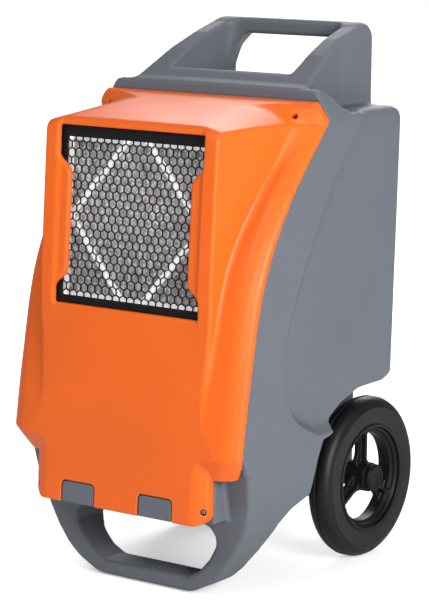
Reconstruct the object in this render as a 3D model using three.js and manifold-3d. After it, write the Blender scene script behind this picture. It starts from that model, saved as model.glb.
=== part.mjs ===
// Commercial dehumidifier on two wheels, as an assembly of separate solids.
// Millimetres, +Z up, the machine's front faces -Y. The pieces are laid out from the point on the
// ground under the wheel axle; the last lines move that point so that the origin is the centre of
// the machine's footprint on the ground.

import * as THREE from "three";
import { mergeVertices } from "three/addons/utils/BufferGeometryUtils.js";
import { ConvexGeometry } from "three/addons/geometries/ConvexGeometry.js";
import Module from "manifold-3d";

const wasm = await Module();
wasm.setup();

// ---------- driving dimensions ----------

const WHEEL_RADIUS = 127;
const WHEEL_OUTER_X = 182;
const WHEEL_WIDTH = 44;
const AXLE_RADIUS = 8;

const BAND_HALF = 214; // widest part, beside the cover
const SIDE_HALF = 196; // recessed sides behind the band
const LOWER_HALF = 175; // front foot and the tab of the cover
const WELL_HALF = 118; // body between the wheels
const WALL = 6;

const FRONT_Y = -419; // foremost point, at the cover's lower edge
const REAR_Y = 42;
const SHOULDER_Z = 711; // top of the body at the back
const BAND_TOP_Z = 700;
const RIDGE_Z = 748; // top of the body at the front, under the handle
const HANDLE_TOP_Z = 838;
const HANDLE_HALF = 141;
const CROSSBAR_Y = 10; // front of the bar across the top of the handle
const FLANGE_BOTTOM_Z = 193; // lower end of the cover's side flanges
const FLANGE_BEND_Z = FLANGE_BOTTOM_Z + 33; // where their edges turn back towards the body
const COVER_BOTTOM_Z = 125;

const FOOT_FRONT_Y = -350;
const FOOT_DEPTH = 60;

const WINDOW_HALF = 135;
const WINDOW_TOP_Z = 690;
const WINDOW_BOTTOM_Z = 424;
const WINDOW_WAIST_HALF = 113; // between the rails' bulges
const FACE_LEAN = THREE.MathUtils.degToRad(3.6); // lean of the cover's front face

const FAN_Z = 500;
const FAN_RADIUS = 118;
const SHROUD_RADIUS = FAN_RADIUS + 5;

const GAP = 0.3; // between pieces that rest on each other

// ---------- outlines shared by the housing and the cover, as [y, z] ----------

function spline(points, steps) {
  const curve = new THREE.SplineCurve(points.map(([a, b]) => new THREE.Vector2(a, b)));
  return curve.getPoints(steps).map((p) => [p.x, p.y]);
}

// Side edge of the cover, from its lower corner to the vertex at the top, then up to the roof's edge.
const COVER_ROOF = [-197, 729];
const COVER_EDGE = [
  [-381, FLANGE_BOTTOM_Z],
  ...spline([[-398, FLANGE_BEND_Z], [-381, 330], [-350, 470], [-288, 587], [-190, BAND_TOP_Z]], 12),
  COVER_ROOF,
];

// Line where the wide band beside the cover steps in to the recessed side.
const CREASE = spline([[-88, 699], [-182, 583], [-270, 418], [-285, 330], [-255, 265], [-191, 231]], 14);

// Edge of the wheel well, from the foot round to the back wall.
const WELL_EDGE = [[-288, 50], [-280, 72], [-263, 106], [-240, 124], [-214, 134], [-198, 140],
  [-190, 187], [-179, 223], [-154, 226], [-135, 246], [-108, 263], [-56, 280], [14, 282],
  [30, 290], [REAR_Y + 30, 300], [REAR_Y + 30, 20], [-288, 20]];

// ---------- solids from three.js geometries ----------

// A manifold-3d solid of a closed three.js geometry, its shared vertices merged.
function solid(geometry) {
  geometry.deleteAttribute("normal");
  geometry.deleteAttribute("uv");
  const merged = mergeVertices(geometry, 1e-4);
  return new wasm.Manifold(new wasm.Mesh({
    numProp: 3,
    vertProperties: merged.attributes.position.array,
    triVerts: new Uint32Array(merged.index.array),
  }));
}

function geometryOf(manifold) {
  const mesh = manifold.getMesh();
  const geometry = new THREE.BufferGeometry();
  geometry.setAttribute("position", new THREE.BufferAttribute(mesh.vertProperties, 3));
  geometry.setIndex(new THREE.BufferAttribute(mesh.triVerts, 1));
  geometry.computeVertexNormals();
  return geometry;
}

function joined(first, ...others) {
  return others.reduce((sum, other) => sum.add(other), first);
}

function without(body, ...cutters) {
  return cutters.reduce((rest, cutter) => rest.subtract(cutter), body);
}

function extruded(points, holes, depth) {
  const shape = new THREE.Shape(points.map(([a, b]) => new THREE.Vector2(a, b)));
  shape.holes = holes.map((hole) => new THREE.Path(hole.map(([a, b]) => new THREE.Vector2(a, b))));
  return new THREE.ExtrudeGeometry(shape, { depth, bevelEnabled: false });
}

const X_AXIS = new THREE.Vector3(1, 0, 0);
const Y_AXIS = new THREE.Vector3(0, 1, 0);
const Z_AXIS = new THREE.Vector3(0, 0, 1);

// A side outline of [y, z] points, extruded across the machine from x0 to x1.
function sideSlab(points, x0, x1, holes = []) {
  const turn = new THREE.Matrix4().makeBasis(Y_AXIS, Z_AXIS, X_AXIS).setPosition(x0, 0, 0);
  return solid(extruded(points, holes, x1 - x0).applyMatrix4(turn));
}

// A front outline of [x, z] points, extruded back from y0 to y1.
function frontSlab(points, y0, y1, holes = []) {
  const back = Y_AXIS.clone().negate();
  const turn = new THREE.Matrix4().makeBasis(X_AXIS, Z_AXIS, back).setPosition(0, y1, 0);
  return solid(extruded(points, holes, y1 - y0).applyMatrix4(turn));
}

function hull(points) {
  return solid(new ConvexGeometry(points.map((p) => new THREE.Vector3(...p))));
}

function box(x0, x1, y0, y1, z0, z1) {
  const geometry = new THREE.BoxGeometry(x1 - x0, y1 - y0, z1 - z0);
  return solid(geometry.translate((x0 + x1) / 2, (y0 + y1) / 2, (z0 + z1) / 2));
}

// A round bar between two points.
function bar(from, to, radius, sides = 16, endRadius = radius) {
  const start = new THREE.Vector3(...from);
  const along = new THREE.Vector3(...to).sub(start);
  const geometry = new THREE.CylinderGeometry(endRadius, radius, along.length(), sides);
  geometry.translate(0, along.length() / 2, 0);
  geometry.applyQuaternion(new THREE.Quaternion().setFromUnitVectors(Y_AXIS, along.normalize()));
  return solid(geometry.translate(start.x, start.y, start.z));
}

// A profile of [radius, distance] points revolved about a line through `centre` along `axis`.
function turned(profile, centre, axis, segments) {
  const points = profile.map(([r, h]) => new THREE.Vector2(r, h));
  const geometry = new THREE.LatheGeometry(points, segments);
  geometry.applyQuaternion(new THREE.Quaternion().setFromUnitVectors(Y_AXIS, axis));
  return solid(geometry.translate(...centre));
}

// The centre line of a bent pipe: straight runs joined by round corners, stepped only in the corners.
class BentLine extends THREE.Curve {
  constructor(corners, bend, cornerSteps = 3) {
    super();
    const p = corners.map((corner) => new THREE.Vector3(...corner));
    this.stops = [p[0]];
    for (let i = 1; i < p.length - 1; i++) {
      const before = p[i - 1].clone().sub(p[i]);
      const after = p[i + 1].clone().sub(p[i]);
      const reach = Math.min(bend, before.length() / 2.1, after.length() / 2.1);
      const corner = new THREE.QuadraticBezierCurve3(
        p[i].clone().addScaledVector(before.normalize(), reach),
        p[i],
        p[i].clone().addScaledVector(after.normalize(), reach));
      this.stops.push(...corner.getPoints(cornerSteps));
    }
    this.stops.push(p.at(-1));
  }

  getPoint(t) {
    const place = t * (this.stops.length - 1);
    const i = Math.min(Math.floor(place), this.stops.length - 2);
    return this.stops[i].clone().lerp(this.stops[i + 1], place - i);
  }

  getUtoTmapping(u) {
    return u;
  }
}

function circle(radius, sides, x = 0, y = 0) {
  return Array.from({ length: sides }, (_, i) => {
    const angle = (2 * Math.PI * i) / sides;
    return [x + radius * Math.cos(angle), y + radius * Math.sin(angle)];
  });
}

function pipe(corners, radius, bend, sides = 6) {
  const line = new BentLine(corners, bend);
  const shape = new THREE.Shape(circle(radius, sides).map(([a, b]) => new THREE.Vector2(a, b)));
  const options = { extrudePath: line, steps: line.stops.length - 1, bevelEnabled: false };
  return solid(new THREE.ExtrudeGeometry(shape, options));
}

// The same outline mirrored in x = 0 and joined to itself, for fronts given by their right half.
function bothSides(half) {
  return [...half, ...half.map(([x, z]) => [-x, z]).reverse()];
}

function mirrored(manifold) {
  return manifold.mirror([1, 0, 0]);
}

// ---------- the assembly ----------

const machine = new THREE.Group();

const finishes = {
  orange: { color: 0xec6826, roughness: 0.45, metalness: 0 },
  grey: { color: 0x6f7780, roughness: 0.55, metalness: 0 },
  black: { color: 0x151516, roughness: 0.6, metalness: 0 },
  rubber: { color: 0x2e2e30, roughness: 0.8, metalness: 0 },
  filter: { color: 0xc9c4c6, roughness: 0.9, metalness: 0 },
  steel: { color: 0xb9bcc0, roughness: 0.35, metalness: 1 },
  aluminium: { color: 0xc8cacc, roughness: 0.4, metalness: 1 },
  copper: { color: 0xb87048, roughness: 0.35, metalness: 1 },
  red: { color: 0xb3261e, roughness: 0.4, metalness: 0 },
  white: { color: 0xd8d8d4, roughness: 0.5, metalness: 0 },
};

function placeIn(group, name, manifold, finish) {
  const mesh = new THREE.Mesh(geometryOf(manifold), new THREE.MeshStandardMaterial(finishes[finish]));
  mesh.name = name;
  group.add(mesh);
}

function place(name, manifold, finish) {
  placeIn(machine, name, manifold, finish);
}

// ---------- housing ----------

// Front outline of the machine: the foot widening up to the band, and the chamfers at the top.
const FRONT_OUTLINE = bothSides([
  [88, 0], [127, 22], [148, 40], [168, 66], [188, 102], [203, 150],
  [BAND_HALF, FLANGE_BEND_Z - 9], [BAND_HALF, BAND_TOP_Z], [187, RIDGE_Z], [HANDLE_HALF, RIDGE_Z + 4],
  [HANDLE_HALF, HANDLE_TOP_Z - 16], [HANDLE_HALF - 5, HANDLE_TOP_Z - 5], [HANDLE_HALF - 16, HANDLE_TOP_Z]]);

const PLATE = 9; // front-to-back thickness of the cover's flange
const BODY_FRONT_Y = COVER_ROOF[0] + PLATE + GAP; // front of the body's top, behind the cover's roof

// Opening in the foot, as the right half of a front outline.
const FOOT_OPENING = bothSides([[80, 25], [101, 36], [121, 58], [132, 80], [132, 94],
  [120, 106], [108, 110]]);

// Two leaning arms with a bar between them. In front of the bar the grip is open to the top; behind its
// front face the opening has a round top, and its floor falls back from a lip to the body's shoulder.
function handle() {
  const side = sideSlab([
    [BODY_FRONT_Y, 738], [-130, 773], [-100, 791], [-53, 813], [-3, 829], [16, HANDLE_TOP_Z],
    [REAR_Y - 14, HANDLE_TOP_Z], [REAR_Y, HANDLE_TOP_Z - 16], [REAR_Y, SHOULDER_Z - 30],
    [BODY_FRONT_Y + 8, SHOULDER_Z - 30], [BODY_FRONT_Y + 8, BAND_TOP_Z], [BODY_FRONT_Y, COVER_ROOF[1]]],
    -HANDLE_HALF, HANDLE_HALF);
  const recess = frontSlab(bothSides([[112, 690], [113, 780], [110, 812], [104, 850]]), -300, CROSSBAR_Y);
  const opening = frontSlab(bothSides([[116, 690], [113, 770], [102, 794], [80, 811]]), -300, REAR_Y + 10);
  const aboveFloor = sideSlab([[-300, 766], [-141, 766], [-100, 722], [-84, 700], [REAR_Y + 10, 700],
    [REAR_Y + 10, 860], [-300, 860]], -130, 130);
  return without(side, joined(recess, opening).intersect(aboveFloor));
}

// Outline of a notch in the cover's lower edge; the body's tab fills it with a margin all round.
const NOTCH = { inner: 41, outer: 105, top: 159, bevel: 9 };

function tabOutline(margin) {
  const [inner, outer, top] = [NOTCH.inner + margin, NOTCH.outer - margin, NOTCH.top - margin];
  const bottom = margin ? COVER_BOTTOM_Z + margin : COVER_BOTTOM_Z - 15;
  const shoulder = top - NOTCH.bevel;
  return [[inner, bottom], [outer, bottom], [outer, shoulder], [outer - NOTCH.bevel, top],
    [inner + NOTCH.bevel, top], [inner, shoulder]];
}

const BEYOND_FRONT_Y = FRONT_Y - 11; // in front of everything, where cutters start
const BEYOND_REAR_Y = REAR_Y + 10;
const BELLY_Z = 102; // underside between the wheels
const BACKING_FRONT_Y = -388; // front of the body behind the cover's lower tab
const CREASE_END_Z = CREASE.at(-1)[1];

function bodyOutside() {
  const footBack = FOOT_FRONT_Y + FOOT_DEPTH;
  const behindCover = COVER_EDGE.map(([y, z]) => [y + PLATE + GAP, z]);
  const sideOutline = [
    [FOOT_FRONT_Y, 0], [footBack, 0], [footBack, 50], [footBack + 10, 74], [-245, BELLY_Z],
    [REAR_Y - 12, BELLY_Z], [REAR_Y, BELLY_Z + 14],
    [REAR_Y, SHOULDER_Z - 12], [REAR_Y - 14, SHOULDER_Z], [-60, SHOULDER_Z + 1],
    [-104, SHOULDER_Z - 2], [-146, 737], [-170, RIDGE_Z], [BODY_FRONT_Y, RIDGE_Z - 8],
    ...behindCover.reverse(), [-366, FLANGE_BOTTOM_Z - 7], [FOOT_FRONT_Y, 112]];
  const [low, high, back] = [COVER_BOTTOM_Z - 2, FLANGE_BOTTOM_Z - 1, FOOT_FRONT_Y + 8];
  const tabBacking = hull([-1, 1].flatMap((side) => [
    [side * 165, BACKING_FRONT_Y, low], [side * 165, BACKING_FRONT_Y, high],
    [side * 168, back, low - 15], [side * 168, back, high]]));
  const bulk = joined(sideSlab(sideOutline, -BAND_HALF, BAND_HALF), handle(), tabBacking)
    .intersect(frontSlab(FRONT_OUTLINE, BEYOND_FRONT_Y, BEYOND_REAR_Y));

  const recessOutline = [...CREASE, [REAR_Y + 20, CREASE_END_Z], [REAR_Y + 20, 770], [-88, 770]];
  const recess = sideSlab(recessOutline, SIDE_HALF, BAND_HALF + 16);
  const well = sideSlab(WELL_EDGE, WELL_HALF, BAND_HALF + 16);
  return without(bulk, recess, mirrored(recess), well, mirrored(well));
}

// The room inside, open at the front behind the cover. Its shelf at DECK_Z carries the deck.
function bodyHollow() {
  const back = REAR_Y - WALL;
  const roof = [[back, 702], [-110, 700], [-150, 728], [-172, 740], [-179, 732], [-179, 700]];
  const upper = sideSlab([[-420, DECK_Z], [back, DECK_Z], ...roof, [-420, 700]], -185, 185);
  const roofHalf = [[185, 290], [185, 712], [176, 730], [150, 742]];
  const roofLine = frontSlab(bothSides(roofHalf), BEYOND_FRONT_Y, REAR_Y);
  const lowerHalf = LOWER_HALF - 8;
  const pumpHalf = WELL_HALF - 7;
  const lowerFront = box(-lowerHalf, lowerHalf, -420, -200, 236, DECK_Z + 1);
  const behindTab = box(-156, 156, -420, -228, 150, 237);
  const pumpRoom = box(-pumpHalf, pumpHalf, -229, back, FLOOR_Z, DECK_Z + 1);
  return joined(upper.intersect(roofLine), lowerFront, behindTab, pumpRoom);
}

// Holes through the back wall, across the bottom for the axle, and through the foot.
function bodyOpenings() {
  const through = (x, z, radius, sides) => bar([x, REAR_Y - 20, z], [x, REAR_Y + 5, z], radius, sides);
  const reach = WELL_HALF + 12;
  return [
    through(0, FAN_Z, SHROUD_RADIUS, 28),
    through(CORD_X, PORT_Z, 9.4, 12),
    through(OUTLET_X, PORT_Z, 9.4, 12),
    box(-112, 112, REAR_Y - 20, REAR_Y + 5, PANEL_Z - 24, PANEL_Z + 24),
    bar([-reach, 0, WHEEL_RADIUS], [reach, 0, WHEEL_RADIUS], AXLE_RADIUS + 0.6, 16),
    frontSlab(FOOT_OPENING, FOOT_FRONT_Y - 20, FOOT_FRONT_Y + FOOT_DEPTH + 46),
  ];
}

function bodyShell() {
  const shell = without(bodyOutside(), bodyHollow(), ...bodyOpenings());
  const tab = frontSlab(tabOutline(1.5), FRONT_Y + 5, BACKING_FRONT_Y + 8);
  place("body_shell", joined(shell, tab, mirrored(tab)), "grey");
}

// ---------- front cover ----------

// Depth of the cover's leaning front face at a height.
function faceY(z) {
  return FRONT_Y + (z - COVER_BOTTOM_Z) * Math.tan(FACE_LEAN);
}

const WINDOW = bothSides([
  [WINDOW_HALF, WINDOW_BOTTOM_Z], [WINDOW_HALF, 452], [WINDOW_WAIST_HALF, 470],
  [WINDOW_WAIST_HALF, 622], [WINDOW_HALF, 644], [WINDOW_HALF, WINDOW_TOP_Z]]);

const COVER_WALL = 5;

// The raised middle of the cover as corners of its right half; the inner side is drawn in by the wall.
function coverBlock(wall) {
  const right = [
    [123, -197, 729], [148, -376, 703], [160, -387, 675], [161, -396, 531], [164, -401, 330],
    [166, -404, 193], [166, -407, 146], [152, -410, COVER_BOTTOM_Z], [60, FRONT_Y, COVER_BOTTOM_Z],
    [181, -196, BAND_TOP_Z], [181, -288, 587], [181, -352, 470], [181, -383, 330], [178, -393, FLANGE_BEND_Z],
    [164, -385, FLANGE_BOTTOM_Z + 4], [164, -385, COVER_BOTTOM_Z]];
  const drawnIn = right.map(([x, y, z]) => {
    const below = wall && z <= COVER_BOTTOM_Z ? 20 : 0;
    const roof = z > WINDOW_TOP_Z ? wall : 0;
    return [x - wall, y + wall, z - below - roof];
  });
  const rear = wall ? [[176, -150, BAND_TOP_Z], [176, -300, 400], [160, -340, 100], [176, -150, 716]] : [];
  const half = [...drawnIn, ...rear];
  return hull([...half, ...half.map(([x, y, z]) => [-x, y, z])]);
}

// A seat for each cover screw on the right: where the head rests and the way it faces.
const SCREW_SEATS = [
  { name: "top", at: [172, -213, 703.2], out: [0.447, -0.067, 0.892] },
  { name: "bottom", at: [156, -405, 147], out: [0.53, -0.85, 0] },
];
const SCREW_RADIUS = 2.5;
const HEAD_RADIUS = 4.5;

function frontCover() {
  const plateBack = COVER_EDGE.map(([y, z]) => [y + PLATE, z]);
  const plate = sideSlab([...COVER_EDGE, ...plateBack.slice().reverse()], -BAND_HALF, BAND_HALF);
  const outline = bothSides([[196, 100], [196, FLANGE_BOTTOM_Z], [BAND_HALF, FLANGE_BEND_Z],
    [BAND_HALF, BAND_TOP_Z], [187, RIDGE_Z]]);
  const bulk = joined(plate, coverBlock(0)).intersect(frontSlab(outline, BEYOND_FRONT_Y, -100));

  const tabBackY = BACKING_FRONT_Y - 1;
  const behind = [...plateBack, [-100, 760], [-100, 100], [tabBackY, 100], [tabBackY, FLANGE_BOTTOM_Z]];
  const behindPlate = sideSlab(behind, -BAND_HALF - 5, BAND_HALF + 5);
  const window = frontSlab(WINDOW, BEYOND_FRONT_Y, -340);
  const shell = without(bulk, coverBlock(COVER_WALL), behindPlate, window);

  const notch = frontSlab(tabOutline(0), BEYOND_FRONT_Y, BACKING_FRONT_Y + 8);
  const seats = SCREW_SEATS.flatMap((seat) => [1, -1].flatMap((side) => [
    alongScrew(seat, 0, 20, HEAD_RADIUS + 1.5, 12, side),
    alongScrew(seat, -25, 1, SCREW_RADIUS + 0.6, 10, side)]));
  place("front_cover", without(shell, notch, mirrored(notch), ...seats), "orange");
}

// A bar along a screw's axis, between two distances from its seat.
function alongScrew({ at, out }, from, to, radius, sides, side) {
  const axis = new THREE.Vector3(...out).normalize();
  const point = (distance) => {
    const p = new THREE.Vector3(...at).addScaledVector(axis, distance);
    return [side * p.x, p.y, p.z];
  };
  return bar(point(from), point(to), radius, sides);
}

function coverScrews() {
  for (const seat of SCREW_SEATS) {
    for (const [side, word] of [[1, "right"], [-1, "left"]]) {
      const head = alongScrew(seat, GAP, 3, HEAD_RADIUS, 12, side);
      const shank = alongScrew(seat, -15, 1, SCREW_RADIUS, 8, side);
      const drive = alongScrew(seat, 1.6, 6, 1.8, 6, side);
      place(`cover_screw_${seat.name}_${word}`, without(joined(head, shank), drive), "steel");
    }
  }
}

// ---------- window pack: grille, filter and coils, leaning with the cover's front ----------

const WINDOW_Z = (WINDOW_TOP_Z + WINDOW_BOTTOM_Z) / 2;

// Inside this group y is the depth behind the cover's face and z = 0 the middle of the window.
const windowPack = new THREE.Group();
windowPack.position.set(0, faceY(WINDOW_Z), WINDOW_Z);
windowPack.rotation.x = -FACE_LEAN;

const MESH_HALF = 128;
const MESH_BOTTOM = -121;
const MESH_TOP = 116;

function rectangle(half, bottom, top) {
  return [[-half, bottom], [half, bottom], [half, top], [-half, top]];
}

function grilleFrame() {
  const opening = rectangle(MESH_HALF, MESH_BOTTOM, MESH_TOP);
  const frame = frontSlab(rectangle(145, -142, 134), 10, 14, [opening]);
  placeIn(windowPack, "grille_frame", frame, "black");
}

// Honeycomb of wide cells: columns one pitch apart, every other row set half a pitch across.
function intakeGrille() {
  const pitch = 42;
  const rowStep = pitch * Math.sin(Math.PI / 3);
  const cell = (pitch - 5) / Math.sqrt(3);
  const cells = [];
  for (let row = -3; row <= 2; row++) {
    const shift = row % 2 === 0 ? 0 : pitch / 2;
    for (let column = -3; column <= 3; column++) {
      const x = column * pitch + shift;
      const z = (row + 0.5) * rowStep;
      const inside = Math.abs(x) + cell < MESH_HALF && z - cell > MESH_BOTTOM && z + cell < MESH_TOP;
      if (inside) cells.push(circle(cell, 6).map(([a, b]) => [x + b, z + a]));
    }
  }
  const mesh = frontSlab(rectangle(MESH_HALF + 8, MESH_BOTTOM - 8, MESH_TOP + 8), 14.3, 16.5, cells);
  placeIn(windowPack, "intake_grille", mesh, "black");
}

function filterParts() {
  const diamond = (inset) => {
    const [half, top, bottom] = [MESH_HALF - inset, MESH_TOP - inset, MESH_BOTTOM + inset];
    return [[0, top], [-half, -3], [0, bottom], [half, -3]];
  };
  placeIn(windowPack, "filter_retainer", frontSlab(diamond(2), 18, 21, [diamond(9)]), "steel");
  placeIn(windowPack, "air_filter", box(-134, 134, 21.3, 29, MESH_BOTTOM - 6, MESH_TOP + 6), "filter");
}

const COIL_HALF = 112;
const COIL_DEPTH = 40;
const TUBE_PITCH = 40;
const TUBE_RUNS = 6;
const TUBE_RADIUS = 4.5;

// A finned block with round holes, and the serpentine tube threaded through them.
function coil(name, depth, openSide) {
  const middle = depth + COIL_DEPTH / 2;
  const runZ = (run) => (TUBE_RUNS / 2 - 0.5 - run) * TUBE_PITCH;
  const runs = Array.from({ length: TUBE_RUNS }, (_, run) => run);
  const holes = runs.map((run) => circle(TUBE_RADIUS + 2 * GAP, 8, middle, runZ(run)));
  const block = [[depth, -122], [depth + COIL_DEPTH, -122], [depth + COIL_DEPTH, 118], [depth, 118]];
  placeIn(windowPack, `${name}_fins`, sideSlab(block, -COIL_HALF, COIL_HALF, holes), "aluminium");

  const corners = [];
  for (const run of runs) {
    const first = run === 0 ? COIL_HALF + 8 : COIL_HALF + 20;
    const last = run === TUBE_RUNS - 1 ? COIL_HALF + 8 : COIL_HALF + 20;
    const heading = openSide * (run % 2 === 0 ? 1 : -1);
    corners.push([heading * first, middle, runZ(run)], [-heading * last, middle, runZ(run)]);
  }
  placeIn(windowPack, `${name}_tube`, pipe(corners, TUBE_RADIUS, 18), "copper");
}

function coilCasing() {
  const front = 31;
  const back = 150;
  const sheet = 1.5;
  const outer = rectangle(145, -131, 129);
  const inner = rectangle(145 - sheet, -131 + sheet, 129 - sheet);
  placeIn(windowPack, "coil_casing", frontSlab(outer, front, back, [inner]), "steel");
}

// A point of the window pack in the machine's own frame.
function fromPack(x, depth, z) {
  windowPack.updateMatrix();
  return new THREE.Vector3(x, depth, z).applyMatrix4(windowPack.matrix).toArray();
}

// ---------- refrigeration ----------

const DECK_Z = 302; // shelf of the housing that the deck lies on
const DECK_TOP_Z = DECK_Z + GAP + 3;
const COMPRESSOR = [100, -140];
const COMPRESSOR_RADIUS = 58;
const COMPRESSOR_FOOT_Z = 322;
const COMPRESSOR_TOP_Z = 480;
const ACCUMULATOR = [8, -178];
const DRIER = [-150, -150];
const HOSE_HOLE = [-85, -60]; // where the outlet hose passes the deck

function chassisDeck() {
  const deck = box(-182, 182, -228, REAR_Y - WALL - 2, DECK_Z + GAP, DECK_TOP_Z);
  const lip = box(-182, 182, -228, -225, DECK_Z + GAP, DECK_TOP_Z + 10);
  const hoseHole = bar([...HOSE_HOLE, DECK_Z - 5], [...HOSE_HOLE, DECK_Z + 10], 9, 12);
  place("chassis_deck", without(joined(deck, lip), hoseHole), "steel");
}

function compressor() {
  const [x, y] = COMPRESSOR;
  const [foot, top, r] = [COMPRESSOR_FOOT_Z, COMPRESSOR_TOP_Z, COMPRESSOR_RADIUS];
  const can = turned([[0, foot + 3], [r - 14, foot + 3], [r, foot + 18], [r, top - 22], [r - 18, top - 5],
    [0, top]], [x, y, 0], Z_AXIS, 24);
  const feet = [90, 210, 330].map((degrees) => {
    const angle = THREE.MathUtils.degToRad(degrees);
    return [x + 68 * Math.cos(angle), y + 68 * Math.sin(angle)];
  });
  const pads = feet.map(([px, py]) => bar([px, py, foot], [px, py, foot + 4], 13, 12));
  const plate = bar([x, y, foot], [x, y, foot + 4], 62, 24);
  place("compressor", joined(can, plate, ...pads), "black");
  feet.forEach(([px, py], i) => {
    const grommet = bar([px, py, DECK_TOP_Z + GAP], [px, py, foot - GAP], 12, 12, 9);
    place(`compressor_grommet_${i + 1}`, grommet, "rubber");
  });
}

function vessels() {
  const [ax, ay] = ACCUMULATOR;
  const can = [[0, 342], [14, 342], [24, 352], [24, 438], [14, 450], [0, 450]];
  const strap = box(ax - 16, ax + 16, ay - 2, ay + 2, DECK_TOP_Z + GAP, 345);
  place("accumulator", joined(turned(can, [ax, ay, 0], Z_AXIS, 16), strap), "black");
  const [dx, dy] = DRIER;
  const drier = [[0, 342], [5, 342], [15, 354], [15, 420], [5, 432], [0, 432]];
  place("filter_drier", turned(drier, [dx, dy, 0], Z_AXIS, 12), "copper");
}

// Refrigerant lines, each ending just short of the piece that it is brazed to.
function refrigerantLines() {
  const endX = COIL_HALF + 10;
  const turnX = 136;
  const topRun = (TUBE_RUNS / 2 - 0.5) * TUBE_PITCH;
  const [cx, cy] = COMPRESSOR;
  const condenser = (z) => [fromPack(endX, 106, z), fromPack(turnX, 106, z), fromPack(turnX, 170, z)];
  const evaporator = (z) => [fromPack(-endX, 56, z), fromPack(-turnX, 56, z), fromPack(-turnX, 180, z)];

  const discharge = [...condenser(topRun), [cx, cy, 645], [cx, cy, COMPRESSOR_TOP_Z + 1]];
  place("discharge_line", pipe(discharge, 4, 14), "copper");

  const [dx, dy] = DRIER;
  const low = DECK_TOP_Z + 18;
  const liquid = [...condenser(-topRun), [turnX, -226, low + 6], [dx, -226, low],
    [dx, dy, low], [dx, dy, 341]];
  place("liquid_line", pipe(liquid, 3, 12), "copper");

  const expansion = [...evaporator(-topRun), [dx, dy, 460], [dx, dy, 433]];
  place("expansion_line", pipe(expansion, 3, 12), "copper");

  const [ax, ay] = ACCUMULATOR;
  const suction = [...evaporator(topRun), [ax, ay, 640], [ax, ay, 451]];
  place("suction_line", pipe(suction, 5, 16), "copper");
}

// ---------- fan ----------

const FAN_Y = -2;
const HUB_RADIUS = 34;
const MOTOR_RADIUS = 38;

function fanShroud() {
  const [r, wall] = [SHROUD_RADIUS, 4];
  const [front, flange, back] = [-64, REAR_Y - WALL - 5, REAR_Y - WALL - 0.5];
  const profile = [[r, front], [r + wall, front], [r + wall, flange], [r + 12, flange],
    [r + 12, back], [r, back], [r, front]];
  place("fan_shroud", turned(profile, [0, 0, FAN_Z], Y_AXIS, 24), "steel");
}

function fanImpeller() {
  const hub = bar([0, FAN_Y - 14, FAN_Z], [0, FAN_Y + 14, FAN_Z], HUB_RADIUS, 20);
  const blades = [0, 1, 2, 3, 4].map((i) => {
    const blade = new THREE.BoxGeometry(56, 3, FAN_RADIUS - HUB_RADIUS + 6);
    blade.rotateZ(THREE.MathUtils.degToRad(28));
    blade.translate(0, 0, (FAN_RADIUS + HUB_RADIUS - 10) / 2);
    blade.rotateY((2 * Math.PI * i) / 5);
    return solid(blade.translate(0, FAN_Y, FAN_Z));
  });
  const bore = bar([0, FAN_Y - 20, FAN_Z], [0, FAN_Y + 6, FAN_Z], 5.6, 12);
  place("fan_impeller", without(joined(hub, ...blades), bore), "black");
}

function fanMotor() {
  const can = bar([0, -84, FAN_Z], [0, -30, FAN_Z], MOTOR_RADIUS, 24);
  const shaft = bar([0, -31, FAN_Z], [0, FAN_Y + 2, FAN_Z], 5, 12);
  place("fan_motor", joined(can, shaft), "black");

  const ring = turned([[MOTOR_RADIUS + GAP, -60], [MOTOR_RADIUS + 5, -60], [MOTOR_RADIUS + 5, -46],
    [MOTOR_RADIUS + GAP, -46], [MOTOR_RADIUS + GAP, -60]], [0, 0, FAN_Z], Y_AXIS, 24);
  const arms = [0, 1, 2].map((i) => {
    const [inner, outer] = [MOTOR_RADIUS + 3, SHROUD_RADIUS - 2];
    const arm = new THREE.BoxGeometry(16, 4, outer - inner);
    arm.translate(0, 0, (outer + inner) / 2);
    arm.rotateY((2 * Math.PI * i) / 3);
    return solid(arm.translate(0, -53, FAN_Z));
  });
  place("motor_bracket", joined(ring, ...arms), "steel");
}

function outletGrille() {
  const front = REAR_Y + GAP;
  const rim = turned([[118, front], [131, front], [129, front + 5], [118, front + 5], [118, front]],
    [0, 0, FAN_Z], Y_AXIS, 28);
  const slats = [];
  for (let z = -90; z <= 90; z += 30) {
    const half = Math.sqrt(121 ** 2 - z ** 2);
    slats.push(box(-half, half, front + 0.5, front + 4, FAN_Z + z - 3, FAN_Z + z + 3));
  }
  const posts = [-45, 45].map((x) => {
    const half = Math.sqrt(121 ** 2 - x ** 2);
    return box(x - 3, x + 3, front + 0.5, front + 4, FAN_Z - half, FAN_Z + half);
  });
  place("outlet_grille", joined(rim, ...slats, ...posts), "black");
}

// ---------- controls on the back ----------

const PANEL_Z = 666;
const PANEL_FACE_Y = REAR_Y + GAP + 3;
const SWITCH_X = -80;
const BUTTON_X = -35;
const METER_X = 18;
const KNOB_X = 82;

function controlPanel() {
  const plate = box(-118, 118, REAR_Y + GAP, PANEL_FACE_Y, PANEL_Z - 31, PANEL_Z + 31);
  const [low, high] = [REAR_Y - 5, REAR_Y + 10];
  const cutouts = [
    box(SWITCH_X - 11.5, SWITCH_X + 11.5, low, high, PANEL_Z - 16, PANEL_Z + 16),
    bar([BUTTON_X, low, PANEL_Z], [BUTTON_X, high, PANEL_Z], 9, 16),
    box(METER_X - 22.5, METER_X + 22.5, low, high, PANEL_Z - 12.5, PANEL_Z + 12.5),
    bar([KNOB_X, low, PANEL_Z], [KNOB_X, high, PANEL_Z], 4.5, 12),
  ];
  place("control_panel", without(plate, ...cutouts), "black");
}

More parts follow.
